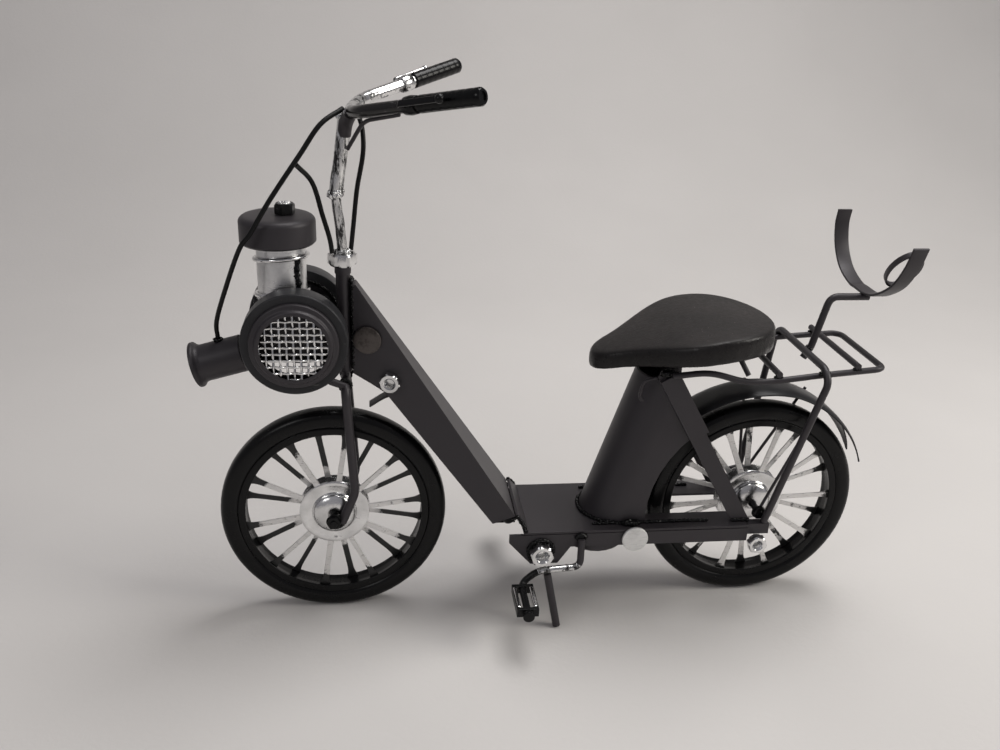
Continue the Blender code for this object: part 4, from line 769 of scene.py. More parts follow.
def vinyl(name):
    """Leather-grained black vinyl with specks of dust that lie on top."""
    colour = tuple(colours().vinyl)
    tree, shader, where = new_material(name, colour, 0.5)
    shader.inputs["Specular IOR Level"].default_value = 0.24
    cell = add(tree, "ShaderNodeTexVoronoi", {"Vector": where, "Scale": 1300.0}, output=0,
               feature="SMOOTH_F1")
    folds = noise(tree, where, 420.0, 4.0, 0.6)
    cloud = noise(tree, where, 34.0, 4.0)
    tint = blend(tree, between(tree, cloud, 0.3, 0.7), colour, shade(colour, 1.9))
    facing = tree.nodes.new("ShaderNodeNewGeometry")
    parts = tree.nodes.new("ShaderNodeSeparateXYZ")
    tree.links.new(facing.outputs["Normal"], parts.inputs[0])
    on_top = between(tree, parts.outputs[2], 0.6, 0.95)
    clumps = between(tree, noise(tree, where, 60.0, 3.0), 0.40, 0.62)
    spot = noise(tree, where, 760.0, 2.0, 0.6)
    specks = between(tree, spot, 0.74 - 0.06 * colours().dust, 0.78)
    specks = math_of(tree, "MULTIPLY", math_of(tree, "MULTIPLY", specks, clumps), on_top)
    # The cover is made lighter and greyer on faces that point up.
    upward_lightening = math_of(tree, "MULTIPLY", on_top, between(tree, cloud, 0.35, 0.75, 0.15, 0.7))
    tint = blend(tree, upward_lightening, tint, (0.026, 0.022, 0.021))
    join(tree, blend(tree, specks, tint, (0.42, 0.37, 0.33)), shader.inputs["Base Color"])
    rough = between(tree, folds, 0.3, 0.7, 0.24, 0.38)
    rough = math_of(tree, "MULTIPLY_ADD", on_top, 0.2, rough)
    join(tree, rough, shader.inputs["Roughness"])
    height = math_of(tree, "MULTIPLY_ADD", folds, 0.8, cell)
    bump(tree, shader, math_of(tree, "MULTIPLY_ADD", specks, 0.8, height), 0.00018, 0.55)


def make_materials():
    enamel("black_enamel")
    enamel("grey_enamel", 4.5, (0.24, 0.44), 0.3, 0.5)
    enamel("scuffed_enamel", 1.4, (0.16, 0.38), 0.4, 0.9)
    enamel("drum_wall", 6.0, (0.24, 0.46), 0.4, 1.0, 1.2)
    enamel("tyre_enamel", 0.8, (0.22, 0.36), 0.2, 0.1, 0.4)
    enamel("weld_black", 0.9, (0.14, 0.32), 0.2, 0.4, 1.6)
    enamel("grip_rubber", 0.8, (0.16, 0.30), 0.2, 0.2)
    enamel("wire_sleeve", 0.8, (0.34, 0.50), 0.1, 0.1)
    # The far rows are blacked from further in and blotched more than the near rows: painted shade, as the far
    # rows lie in shade behind the near ones.
    spoke_silver("front_near_silver", tuple(FRONT_AXLE), 41.0, 0.12, 1.0)
    spoke_silver("front_far_shaded_silver", tuple(FRONT_AXLE), 26.0, 0.75, -1.0)
    spoke_silver("rear_near_silver", tuple(REAR_AXLE), 47.0, 0.10, 1.0)
    spoke_silver("rear_far_shaded_silver", tuple(REAR_AXLE), 44.0, 0.45, -1.0)
    chrome("hub_chrome", 0.12, (0.10, 0.34), None, (110.0, 220.0, 160.0))
    chrome("bright_chrome", 0.10)
    chrome("worn_chrome", 0.55, (0.10, 0.30))
    chrome("bar_chrome", 0.55, (0.08, 0.26), 6.0)
    chrome("stem_silver", 0.62, (0.12, 0.34), None, (330.0, 330.0, 90.0))
    chrome("cylinder_silver", 0.05, (0.24, 0.42), None, (40.0, 40.0, 420.0))
    disc_metal("pale_disc", (0.80, 0.80, 0.79), (0.70, 0.70, 0.69), 0.55)
    disc_metal("brown_disc", (0.10, 0.088, 0.082), (0.030, 0.024, 0.022), 0.36)
    vinyl("seat_vinyl")


# Wheels

def tyre_profile():
    """A rounded square section, as (radius, across)."""
    middle, tall = WHEEL_RADIUS - TYRE_DEPTH / 2, TYRE_DEPTH / 2
    points = []
    for i in range(36):
        turn = 2 * math.pi * i / 36
        power = 2 / TYRE_SQUARENESS
        up = math.copysign(abs(math.cos(turn)) ** power, math.cos(turn))
        over = math.copysign(abs(math.sin(turn)) ** power, math.sin(turn))
        points.append((middle + tall * up, TYRE_HALF_WIDTH * over))
    return points


def hub_profile():
    """Half a hub: a bright dome in the middle of a flange with a rolled edge."""
    dome, flange = HUB_DOME_RADIUS, HUB_FLANGE_RADIUS
    top, low = HUB_HALF_LENGTH, SPOKE_PLANE + 1.3
    half = [(AXLE_RADIUS + 0.1, top - 0.2)]
    for i in range(1, 9):
        turn = math.radians(10 * i)
        half.append((dome * math.sin(turn) ** 0.9, low + (top - low) * math.cos(turn) ** 0.8))
    half += [(dome, low + 0.2), (dome + 0.5, low - 0.5), (dome + 1.6, low - 0.6), (flange - 2.6, low - 0.1),
             (flange - 1.2, low + 0.15), (flange - 0.2, low - 0.3), (flange, low - 1.0),
             (flange - 0.6, low - 1.8), (dome - 2.0, low - 2.0), (dome - 3.5, 0.6)]
    return half


def make_wheel(body, centre_x, names):
    """Tyre, rim, hub and two rows of flat spokes."""
    centre = (centre_x, 0, WHEEL_RADIUS)
    tyre = turned(tyre_profile(), "Y", centre, WHEEL_STEPS, ring=True)
    piece(body + "_tyre_fine", tyre, "tyre_enamel", body, (names[1],), sharp=60)
    bead, half = WHEEL_RADIUS - TYRE_DEPTH, RIM_HALF_WIDTH + 1.0
    outer, inner = bead + 1.3, bead - RIM_DEPTH
    band = softened([(outer, half), (outer, -half), (inner, -half), (inner + 0.7, -half * 0.4),
                     (inner + 0.7, half * 0.4), (inner, half)], 0.8, True)
    piece(body + "_rim", turned(band, "Y", centre, WHEEL_STEPS, ring=True), "tyre_enamel", body,
          (names[0],), sharp=50)
    half_hub = hub_profile()
    full = half_hub + [(r, -h) for r, h in reversed(half_hub)]
    piece(body + "_hub", turned(full, "Y", centre, ROUND_STEPS, ring=True), "hub_chrome", body)
    row_centre = TO_ROW @ Vector(centre)
    turn = math.radians(names[2])
    half_step = math.pi / sizes().spokes_a_side
    end = body.removesuffix("_wheel")
    # A far row takes its own silver, whose wider blacking and blotches are painted shade.
    for side, finish, offset, seed in ((1, end + "_near_silver", 0.0, 4),
                                       (-1, end + "_far_shaded_silver", half_step, 9)):
        mesh = grown(tree_named("Spoke row"), bpy.data.meshes.new("spokes"), {
            "Count": sizes().spokes_a_side, "Root": (HUB_FLANGE_RADIUS - 3.5) * MM, "Tip": (inner + 0.5) * MM,
            "Width": sizes().spoke_width, "Thickness": 0.001, "Turn": turn + offset,
            "Wobble": math.radians(1.6), "Flare": 1.1, "Seed": seed,
            "Centre": row_centre + Vector((0, side * SPOKE_PLANE * MM, 0)),
            "Material": bpy.data.materials[finish]})
        place_mesh(f"{body}_{'left' if side > 0 else 'right'}_spokes", mesh, finish, body, (), 0.0002)


def axle_pin(name, x, half_length, head, body):
    """An axle with a nut and a washer at each end."""
    half = [(0, half_length), (head * 0.55, half_length), (head * 0.55, half_length - 0.9),
            (six_sided(head * 2.0), half_length - 0.9), (six_sided(head * 2.0), half_length - 3.0),
            (head * 1.25, half_length - 3.0), (head * 1.25, half_length - 3.5),
            (AXLE_RADIUS, half_length - 3.5)]
    full = half + [(r, -h) for r, h in reversed(half)]
    piece(name + "_fine", turned(full, "Y", (x, 0, WHEEL_RADIUS), 48), "weld_black", body, (name,), 0.00015)


# Steering

def make_fork():
    foot = (FRONT_X - AXLE_RADIUS - FORK_ROD / 2, FORK_HALF_WIDTH, WHEEL_RADIUS - 1.5)
    half = [foot, (FORK_LEAN_X + 3.0, FORK_HALF_WIDTH, FORK_BEND_Z - 8.0),
            (FORK_LEAN_X, FORK_HALF_WIDTH, FORK_BEND_Z), (STEER_X, FORK_HALF_WIDTH, FORK_CROWN_Z)]
    rod("fork_legs", bent(both_sides(half), 8.0), FORK_ROD, "black_enamel", "steering", ("fork",))
    strut_x, strut_y = STEER_X + 10.7, FORK_HALF_WIDTH - 3.0
    for side, name in ((1, "left"), (-1, "right")):
        route = [(STEER_X, side * strut_y, FORK_CROWN_Z), (strut_x, side * strut_y, FORK_CROWN_Z + 4.0),
                 (strut_x, side * strut_y, 159.0)]
        rod(f"fork_{name}_strut", bent(route, 5.0), FORK_ROD - 1.0, "black_enamel", "steering")
        tip = arc((foot[0] + 3.0, foot[2] + 0.3), 3.4, 100, 300, 10)
        weld(f"fork_{name}_tip_weld", [(x, side * FORK_HALF_WIDTH, z) for x, z in tip], "steering", 1.5)
        crown = arc((STEER_X, FORK_CROWN_Z), 3.0, 20, 340, 12)
        weld(f"fork_{name}_crown_weld", [(x, side * (strut_y - 1.0), z) for x, z in crown], "steering", 1.1)
    top = HEAD_TUBE_TOP + 1.3
    steerer = turned([(0, FORK_CROWN_Z), (2.0, FORK_CROWN_Z), (2.0, top), (0, top)],
                     "Z", (STEER_X, 0, 0), 32)
    piece("steerer", steerer, "black_enamel", "steering")
    tab = [(FRONT_X - 8.0, 60.0), (FRONT_X + 3.0, 59.0), (FRONT_X + 4.0, 66.0), (FRONT_X - 1.0, 69.0),
           (FRONT_X - 7.5, 76.0), (FRONT_X - 10.0, 74.0)]
    ends = (-FORK_HALF_WIDTH - 0.4, -FORK_HALF_WIDTH + 1.4)
    piece("fork_right_tab", prism(tab, "Y", *ends), "black_enamel", "steering", (), 0.0004)
    axle_pin("front_axle", FRONT_X, FORK_HALF_WIDTH + FORK_ROD / 2 + 2.8, 3.4, "steering")


def make_head_tube():
    outer, top = HEAD_TUBE_RADIUS, HEAD_TUBE_TOP
    profile = softened([(2.1, HEAD_TUBE_FOOT), (outer, HEAD_TUBE_FOOT), (outer, top - 4),
                        (outer + 0.5, top - 4),
                        (outer + 0.5, top), (2.1, top)], 0.5, True)
    piece("head_tube_fine", turned(profile, "Z", (STEER_X, 0, 0), 48, ring=True), "black_enamel", "frame",
          ("head_tube",))


def make_stem():
    foot = HEAD_TUBE_TOP + 0.3
    nut = turned(nut_profile(13.0, 6.5, 2.9, 0.0, 1.6), "Z", (STEER_X, 0, foot), 72)
    piece("stem_nut_fine", nut, "bright_chrome", "steering", ("stem_nut",), sharp=25)
    top = foot + 6.8
    path = flowing([(STEER_X, 0, top), (STEER_X + 0.8, 0, 225), (STEER_X + 2.3, 0, 241), (STEER_X, 0, 257),
                    (STEER_X - 3.0, 0, 278.6)], 10)
    rod("stem_fine", path, STEM_ROD, "stem_silver", "steering", ("stem",), 0.7, 160.0, 5)
    rod("stem_sleeve", path[20:], STEM_SLEEVE, "stem_silver", "steering", (), 0.8, 120.0, 8)
    for index, (place, size) in enumerate(((path[20], 1.5), (path[21], 1.3), (path[-1], 1.6))):
        ring = arc((place.x, 0), 3.2, -150, 120, 10)
        weld(f"stem_weld_{index}", [(x, y, place.z + 0.4 * math.sin(x)) for x, y in ring], "steering", size,
             "stem_silver" if index else "worn_chrome", 5 + index)
    elbow = [(STEER_X - 2.2, 0.0, 270.0), (STEER_X - 3.2, 1.0, 276.0),
             (STEER_X - 5.6, 6.0, BAR_FRONT_Z - 0.4)]
    rod("stem_elbow", bent(elbow, 4.0), STEM_SLEEVE + 0.2, "black_enamel", "steering", (), 0.4, 120.0, 4)
    collar = [(x, y, top + 0.3) for x, y in arc((STEER_X, 0), 3.6, 0, 330, 14)]
    weld("stem_nut_weld", collar, "steering", 1.1, "worn_chrome")


def make_bar():
    stub = along(BAR_SHOULDER, BAR_END, GRIP_LENGTH * 0.6)
    half = [tuple(stub), tuple(BAR_SHOULDER), (STEER_X - 6.0, 7.0, BAR_FRONT_Z)]
    path = bent(both_sides(half), 13.0, 10)
    rod("handlebar_fine", path, BAR_ROD, "bar_chrome", "steering", ("handlebar",), 0.25, 140.0)
    for side, name, finish in ((1, "left", "scuffed_enamel"), (-1, "right", "worn_chrome")):
        shoulder, end = [Vector((p.x, side * p.y, p.z)) for p in (BAR_SHOULDER, BAR_END)]
        run = (end - shoulder).normalized()
        start = end - run * GRIP_LENGTH
        profile = [(0, 0)]
        radius, rings = GRIP_ROD / 2, 8
        pitch = GRIP_LENGTH / rings
        profile += [(radius - 0.8, 0), (radius, 0.8)]
        for i in range(1, rings):
            profile += [(radius, i * pitch - 0.5), (radius - 0.08, i * pitch), (radius, i * pitch + 0.5)]
        profile += [(radius, GRIP_LENGTH - 1.0), (radius - 0.7, GRIP_LENGTH), (2.2, GRIP_LENGTH),
                    (2.0, GRIP_LENGTH - 0.8), (0, GRIP_LENGTH - 0.8)]
        grip = turned(profile, "Z", (0, 0, 0), 40)
        grip.transform(Matrix.Translation(start) @ run.to_track_quat("Z", "Y").to_matrix().to_4x4())
        piece(f"{name}_grip_fine", grip, "grip_rubber", "steering", (f"{name}_grip",), sharp=40)
        make_lever(name, side, end, run, finish)
    spine = [tuple(along(BAR_SHOULDER, BAR_END, GRIP_LENGTH + 12.0) + Vector((0, 0, -3.4))),
             (STEER_X - 12.0, 15.0, BAR_FRONT_Z - 2.6), (STEER_X - 4.0, 3.0, 264.0)]
    rod("bar_brace", bent(spine, 6.0), 2.0, "black_enamel", "steering")


def make_lever(name, side, end, run, finish):
    """A clamp beside the grip with a blade that runs out in front of it."""
    inner = end - run * (GRIP_LENGTH + 8.0)
    radius, length = GRIP_ROD / 2, 6.8
    profile = softened([(3.2, 0), (radius, 0), (radius + 0.4, length * 0.5), (radius, length),
                        (3.2, length)], 0.5)
    clamp = turned(profile, "Z", (0, 0, 0), 40)
    clamp.transform(Matrix.Translation(inner) @ run.to_track_quat("Z", "Y").to_matrix().to_4x4())
    piece(f"{name}_lever_clamp", clamp, finish, "steering", (f"{name}_lever",))
    forward = Vector((1.0, side * 0.5, 0.0)).normalized()
    lift = Vector((0, 0, 0.8))
    start = inner + run * 3.4
    reach = radius + 3.4
    path = bent([start + forward * 3.0, start + forward * reach + lift,
                 start + forward * (reach + 0.6) + lift + run * (GRIP_LENGTH * 0.72)], 3.5)
    piece(f"{name}_lever_blade", swept(path, flat_section(3.0, 1.4), (0, 0, 1)), finish, "steering")
    knob = along(start, path[-1], 0.5)
    bmesh_knob = bmesh.new()
    bmesh.ops.create_icosphere(bmesh_knob, subdivisions=3, radius=2.1, matrix=Matrix.Translation(knob))
    piece(f"{name}_lever_knob", bmesh_knob, finish, "steering")
    pivot_place = start + forward * (radius + 1.2) + Vector((0, 0, 1.0))
    screw = turned(softened([(0, -2.0), (1.8, -2.0), (1.8, 1.2), (0, 1.2)], 0.4), "Z", tuple(pivot_place), 24)
    piece(f"{name}_lever_screw", screw, finish, "steering")


def make_cables():
    front_z = BAR_FRONT_Z
    bar_front = STEER_X - 6.0 + BAR_ROD / 2 + 0.6
    nut_top = HEAD_TUBE_TOP + 6.5 + 0.9
    lamp_x = 178.0
    reach = (LAMP_RADIUS + CABLE_ROD / 2) / math.cos(LAMP_DIP)
    lamp_top = LAMP_FRONT.z + (LAMP_FRONT.x - lamp_x) * math.tan(LAMP_DIP) + reach
    routes = {
        "front_cable": [(bar_front, 5.0, front_z + 1.5), (121.5, 14.0, 277.0), (131.0, 20.0, 264.0),
                        (145.6, 21.5, 243.0), (155.5, 22.5, 227.0), (161.5, 20.0, 218.4),
                        (171.0, 10.0, 195.0), (177.5, 3.0, 176.0), (lamp_x, 0.0, lamp_top - 0.6)],
        "left_cable": [(133.2, 18.8, 259.2), (126.7, 6.0, 248.0), (122.5, 4.5, 232.0), (119.4, 4.0, 220.0),
                       (118.4, 3.4, nut_top)],
        "right_cable": [(104.4, -12.0, front_z - 3.4), (102.4, -8.0, 271.0), (102.4, -5.0, 260.0),
                        (105.6, -4.0, 243.0), (107.6, -3.5, 226.0), (109.2, -2.6, nut_top)],
    }
    for name, route in routes.items():
        rod(name + "_fine", flowing(route, 10), CABLE_ROD, "wire_sleeve", "steering", (name,), 0.08, 60.0)
    foot = [(x, y, lamp_top - 0.6) for x, y in arc((lamp_x, 0), 2.0, 0, 320, 8)]
    weld("front_cable_weld", foot, "steering", 0.9)


# Engine

def make_drums():
    face, front = DRUM_FACE_Y, DRUM_FACE_Y + BEZEL_HEIGHT
    outer, opening = DRUM_RADIUS, OPENING_RADIUS
    bezel_foot, step = 22.3, 19.3
    wall = [(outer - 6.5, DRUM_INNER_Y), (outer, DRUM_INNER_Y), (outer, face - 0.6), (outer - 0.6, face),
            (bezel_foot - 1.2, face), (bezel_foot - 1.2, face - 1.5), (outer - 1.5, face - 1.5),
            (outer - 1.5, DRUM_INNER_Y + 1.5), (outer - 6.5, DRUM_INNER_Y + 1.5)]
    bezel = [(bezel_foot, face - 0.2), (bezel_foot - 0.3, face + 2.2), (step + 0.2, face + 2.6),
             (step - 0.5, front), (opening, front), (opening, front - 0.7), (opening + 0.7, front - 0.7),
             (opening + 0.7, face + 1.2), (bezel_foot - 2.2, face + 0.8), (bezel_foot - 2.2, face - 0.2)]
    for side, name in ((1, "left"), (-1, "right")):
        flip = [(r, side * y) for r, y in softened(wall, 0.5, True)]
        piece(name + "_drum_wall", turned(flip, "Y", (DRUM.x, 0, DRUM.z), DRUM_STEPS, ring=True),
              "drum_wall", "steering",
              (name + "_drum",), sharp=50)
        flip = [(r, side * y) for r, y in softened(bezel, 0.7, True)]
        piece(name + "_drum_bezel", turned(flip, "Y", (DRUM.x, 0, DRUM.z), DRUM_STEPS, ring=True),
              "black_enamel",
              "steering", (), sharp=50)
        plane = side * (front - 0.7 - 0.3 - 0.5)
        centre = TO_ROW @ Vector((DRUM.x, plane, DRUM.z))
        mesh = grown(tree_named("Wire grille"), bpy.data.meshes.new("grille"), {
            "Radius": (opening + 0.5) * MM, "Pitch": sizes().grille_pitch, "Wire": sizes().grille_wire,
            "Weave": sizes().grille_wire * 0.32, "Centre": centre,
            "Material": bpy.data.materials["bright_chrome"]})
        place_mesh(name + "_grille_fine", mesh, "bright_chrome", "steering", (name + "_grille",))
        # The black sheet behind the upper part of the grille is painted shade: it darkens the hollow drum's
        # inside, and is left open below where light comes through.
        shade_outline = arc((DRUM.x, DRUM.z), outer - 1.8, -22, 202, 60)
        ends = sorted((side * (DRUM_INNER_Y + 1.55), side * (DRUM_INNER_Y + 2.4)))
        piece(name + "_drum_shade_sheet", prism(shade_outline, "Y", *ends), "black_enamel", "steering")
        joint = arc((DRUM.x, DRUM.z), outer - 5.5, -40, 220, 50)
        seam = [(x, side * (DRUM_INNER_Y + 0.2), z) for x, z in joint]
        weld(name + "_drum_weld", seam, "steering", 1.0)


def make_engine():
    from_node("crankcase", "scuffed_enamel", "steering", 0.0008)
    foot, top = CYLINDER_FOOT, CAP_FOOT - 0.3
    radius = CYLINDER_RADIUS
    profile = softened([(0, foot), (radius + 1.0, foot), (radius + 1.0, foot + 2.0), (radius, foot + 3.0),
                        (radius, top), (0, top)], 0.4)
    piece("cylinder_fine", turned(profile, "Z", (CYLINDER_X, 0, 0), 72), "cylinder_silver", "steering",
          ("cylinder",))
    for level, height in enumerate((foot + 5.5, top - 7.0)):
        path = []
        for i in range(73):
            turn = math.radians(-60.0 + 310.0 * i / 72)
            reach = radius + 0.9 + 1.1 * max(1.0 - i / 6, 0.0)
            path.append((CYLINDER_X + reach * math.cos(turn), reach * math.sin(turn),
                         height + 1.8 * math.sin(turn - 0.6)))
        rod(f"cylinder_ring_{level}", path, 2.2, "bright_chrome", "steering", (), 0.1)
    seam = [(x, y, foot + 0.6) for x, y in arc((CYLINDER_X, 0), radius + 0.8, 0, 350, 60)]
    weld("cylinder_foot_weld", seam, "steering", 2.0)
    turn = math.radians(132)
    edge = Vector((CYLINDER_X + (radius + 0.1) * math.cos(turn), (radius + 0.1) * math.sin(turn), 0))
    upright = [(edge.x + 0.5 * math.sin(i), edge.y, foot + 1 + i * 2.2) for i in range(12)]
    weld("cylinder_side_weld", upright, "steering", 1.7)
    for sign, name in ((1, "left"), (-1, "right")):
        lump = [(CYLINDER_X - 9.0 + 2.0 * math.cos(i), sign * (11.5 + 1.4 * math.sin(i)),
                 foot + 1.5 + 0.2 * i)
                for i in range(8)]
        weld(f"cylinder_{name}_lump", lump, "steering", 2.2)
    make_cap()
    make_lamp()


def make_cap():
    top = CAP_FOOT + CAP_HEIGHT
    profile = [(0, CAP_FOOT), (CAP_RADIUS - 1.0, CAP_FOOT), (CAP_RADIUS, CAP_FOOT + 1.0),
               (CAP_RADIUS, top - 3.6)]
    profile += [(CAP_RADIUS - 3.6 + 3.6 * math.cos(t), top - 3.6 + 3.1 * math.sin(t))
                for t in (math.radians(15 * i) for i in range(1, 6))]
    profile += [(CAP_RADIUS - 5.2, top - 0.35), (9.0, top - 0.1), (0, top)]
    piece("engine_cap_fine", turned(profile, "Z", (CAP.x, 0, 0), DRUM_STEPS), "black_enamel", "steering",
          ("engine_cap",), sharp=40)
    hexagon = six_sided(9.0, 20.0)
    bolt = [(0, 0.3), (hexagon, 0.3), (hexagon, 4.6), (4.2, 5.5), (2.4, 5.5), (2.0, 5.0), (0, 5.0)]
    piece("cap_bolt_fine", turned(bolt, "Z", (CAP.x - 4.0, 0, top), 72), "scuffed_enamel", "steering",
          ("cap_bolt",), sharp=25)
    crest = [(CAP.x - 4.0 + 2.6 * math.cos(i), 2.4 * math.sin(i), top + 5.2) for i in range(7)]
    weld("cap_bolt_solder", crest, "steering", 0.9, "worn_chrome")


def make_lamp():
    radius, flange = LAMP_RADIUS, LAMP_RADIUS + 2.2
    profile = softened([(0, -LAMP_LENGTH), (radius, -LAMP_LENGTH), (radius, -4.6), (radius + 0.6, -3.2),
                        (flange, -1.8), (flange, 0.0), (flange - 1.2, 0.0), (radius - 1.4, -3.4),
                        (0, -3.4)], 0.5)
    shape = turned(profile, "X", (0, 0, 0), ROUND_STEPS)
    dip = Matrix.Rotation(LAMP_DIP, 4, "Y")
    shape.transform(Matrix.Translation(LAMP_FRONT) @ dip)
    piece("headlamp_fine", shape, "black_enamel", "steering", ("headlamp",), sharp=50)


# Frame

def side_nut(name, place, inner, flats, height, bore, nodes):
    """A nut on a side face, its threaded hole outwards."""
    side = 1 if inner > 0 else -1
    profile = [(r, side * h) for r, h in nut_profile(flats, height, bore, 12.0)]
    nut = turned(profile, "Y", (place[0], inner, place[1]), ROUND_STEPS)
    piece(name, nut, "bright_chrome", "frame", nodes, sharp=25)


def frame_lean():
    return math.atan2(21.7 - 4.2, 109.5 - 21.5)


def on_frame_side(shape, place):
    shape.transform(Matrix.Translation(place) @ Matrix.Rotation(-frame_lean(), 4, "Z"))
    return shape


def frame_half_width(x):
    return 4.2 + (21.7 - 4.2) * (109.5 - x) / (109.5 - 21.5)


def make_floor():
    """The flat plate, with a strip on each side of the rear wheel, and the lip up to the frame's foot."""
    half, slot, slot_end, low = RAIL_FACE, 10.5, -54.0, FLOOR_TOP - 1.5
    front, rear = 17.0, -113.0
    plate = prism([(slot_end, -half), (front, -half), (front, half), (slot_end, half)], "Z", low, FLOOR_TOP)
    piece("floor_plate_fine", plate, "black_enamel", "frame", ("floor_plate",), sizes().edge)
    for side, name in ((1, "left"), (-1, "right")):
        strip = [(rear, side * slot), (slot_end, side * slot), (slot_end, side * half), (rear, side * half)]
        piece(f"{name}_floor_strip", prism(strip, "Z", low, FLOOR_TOP), "black_enamel", "frame", (),
              sizes().edge)
    lip = bmesh.new()
    lower = [(front - 2.0, half, low), (front - 2.0, -half, low), (21.1, -21.7, 66.2), (21.1, 21.7, 66.2)]
    under = [lip.verts.new(p) for p in lower]
    over = [lip.verts.new(Vector(p) + Vector((-1.6, 0.0, 0.6))) for p in lower]
    lip.faces.new(under)
    lip.faces.new(reversed(over))
    for i in range(4):
        j = (i + 1) % 4
        lip.faces.new((under[i], under[j], over[j], over[i]))
    piece("floor_lip", lip, "black_enamel", "frame", (), sizes().edge)


def make_frame():
    for node in ("frame_spine", "left_rail", "right_rail", "left_seat_stay", "right_seat_stay"):
        from_node(node, "black_enamel", "frame")
    make_floor()
    from_node("seat_body", "black_enamel", "frame")
    from_node("belly_pan", "black_enamel", "frame", 0.0004)
    disc_x, disc_z, nut_x, nut_z = 101.6, 166.5, 89.6, 144.2
    disc = softened([(0, 0), (7.4, 0), (7.4, 1.3), (6.9, 1.5), (0, 1.5)], 0.3)
    shape = on_frame_side(turned(disc, "Y", (0, 0, 0), 64), (disc_x, frame_half_width(disc_x) + 0.3, disc_z))
    piece("frame_disc_fine", shape, "brown_disc", "frame", ("frame_disc",))
    nut = turned(nut_profile(10.0, 5.0, 2.7, 10.0), "Y", (0, 0, 0), ROUND_STEPS)
    shape = on_frame_side(nut, (nut_x, frame_half_width(nut_x) + 0.3, nut_z))
    piece("frame_nut_fine", shape, "bright_chrome", "frame", ("frame_nut",), sharp=25)
    disc = softened([(0, 0), (7.5, 0), (7.5, 1.2), (7.1, 1.6), (0, 1.6)], 0.3)
    piece("rail_disc_fine", turned(disc, "Y", (-46.5, RAIL_FACE + 0.3, 53.2), 64), "pale_disc", "frame",
          ("rail_disc",))
    tip = RAIL_FACE + 0.15
    spindle = turned(softened([(0, -tip), (2, -tip), (2, tip), (0, tip)], 0.2), "Y",
                     (SPINDLE.x, 0, SPINDLE.z), 32)
    piece("bracket_spindle_fine", spindle, "black_enamel", "frame", ("bracket_spindle",))
    for side, name in ((1, "left"), (-1, "right")):
        side_nut(f"{name}_bracket_nut_fine", (SPINDLE.x, SPINDLE.z), side * (tip + 0.3), 12.0, 6.5, 3.6,
                 (f"{name}_bracket_nut",))
        side_nut(f"{name}_rear_nut_fine", (-118.9, SPINDLE.z + 0.6), side * (RAIL_FACE - 1.0), 10.0, 5.0, 2.8,
                 (f"{name}_rear_nut",))
        ring = [(x, side * (RAIL_FACE + 0.4), z) for x, z in arc((SPINDLE.x, SPINDLE.z), 7.2, 0, 350, 30)]
        weld(f"{name}_bracket_weld", ring, "frame", 1.2)
    axle_pin("rear_axle", REAR_X, 21.6, 3.2, "frame")
    tab = [(REAR_X - 12.0, 59.5), (REAR_X + 6.0, 59.5), (REAR_X + 6.0, 72.0), (REAR_X - 2.0, 74.0),
           (REAR_X - 13.0, 67.0)]
    piece("right_axle_tab", prism(tab, "Y", -19.9, -17.9), "black_enamel", "frame", (), 0.0004)
    make_frame_welds()


def make_frame_welds():
    seam = [(22.0, y, 64.5 + 0.4 * math.sin(y)) for y in range(-20, 21, 2)]
    weld("frame_foot_weld", seam, "frame", 1.5)
    for side, name in ((1, "left"), (-1, "right")):
        corner = [(20.0, side * 21.5, 66.0), (17.0, side * 24.0, 62.0), (16.0, side * 26.0, 59.8)]
        weld(f"{name}_foot_corner_weld", corner, "frame", 1.6)
        run = [(x, side * 20.6, FLOOR_TOP + 0.6) for x in range(-90, -22, 2)]
        weld(f"{name}_seat_body_weld", run, "frame", 1.2)
        lug = [(-45.0 + 4.0 * math.cos(i), side * (21.5 + 1.5 * math.sin(i)),
                FLOOR_TOP + 1.0) for i in range(9)]
        weld(f"{name}_stay_foot_weld", lug, "frame", 2.0)
        tail = [(-109.0 + 0.8 * i, side * 21.6, 59.6) for i in range(-6, 5)]
        weld(f"{name}_dropout_weld", tail, "frame", 1.8)
        seam = [(STEER_X - 4.6, side * 3.4, z) for z in range(150, 196, 3)]
        weld(f"{name}_head_weld", seam, "frame", 1.3)
        knob = [(-56.0 + 1.6 * math.cos(i), side * (22.0 + 1.2 * math.sin(i)), 152.0) for i in range(7)]
        weld(f"{name}_stay_top_weld", knob, "frame", 2.2)
    nose = [(x, y, FLOOR_TOP + 0.6) for x, y in arc((-38.8, 0), 20.2, 80, -80, 30)]
    weld("seat_body_nose_weld", nose, "frame", 1.3)
    lip = [(STEER_X - 4.0 + 0.3 * math.sin(i), i * 0.8, 197.5) for i in range(-4, 5)]
    weld("head_top_weld", lip, "frame", 1.5)


# Seat

def seat_half_width(share):
    bulge = math.sin(math.pi / 2 * min(share / SEAT_WIDEST, 1.0)) ** 1.9
    width = SEAT_NOSE_HALF_WIDTH + (SEAT_HALF_WIDTH - SEAT_NOSE_HALF_WIDTH) * bulge
    nose = math.sqrt(max(1 - (1 - min(share / 0.10, 1.0)) ** 2, 0.0))
    tail = math.sqrt(max(1 - (max(share - SEAT_WIDEST, 0.0) / (1 - SEAT_WIDEST)) ** 2.2, 0.0))
    return width * nose * tail


def seat_floor(x):
    share = (SEAT_NOSE_X - x) / SEAT_LENGTH
    rise = 17.5 * math.sin(math.pi / 2 * max(min(share / 0.8, 1.0), 0.0))
    return SEAT_NOSE_Z + rise - 1.5 * (max(share - 0.75, 0.0) / 0.25) ** 2


def seat_depth(x):
    share = (SEAT_NOSE_X - x) / SEAT_LENGTH
    return 9.5 + 2.8 * math.sin(math.pi / 2 * max(min(share / 0.7, 1.0), 0.0)) ** 2


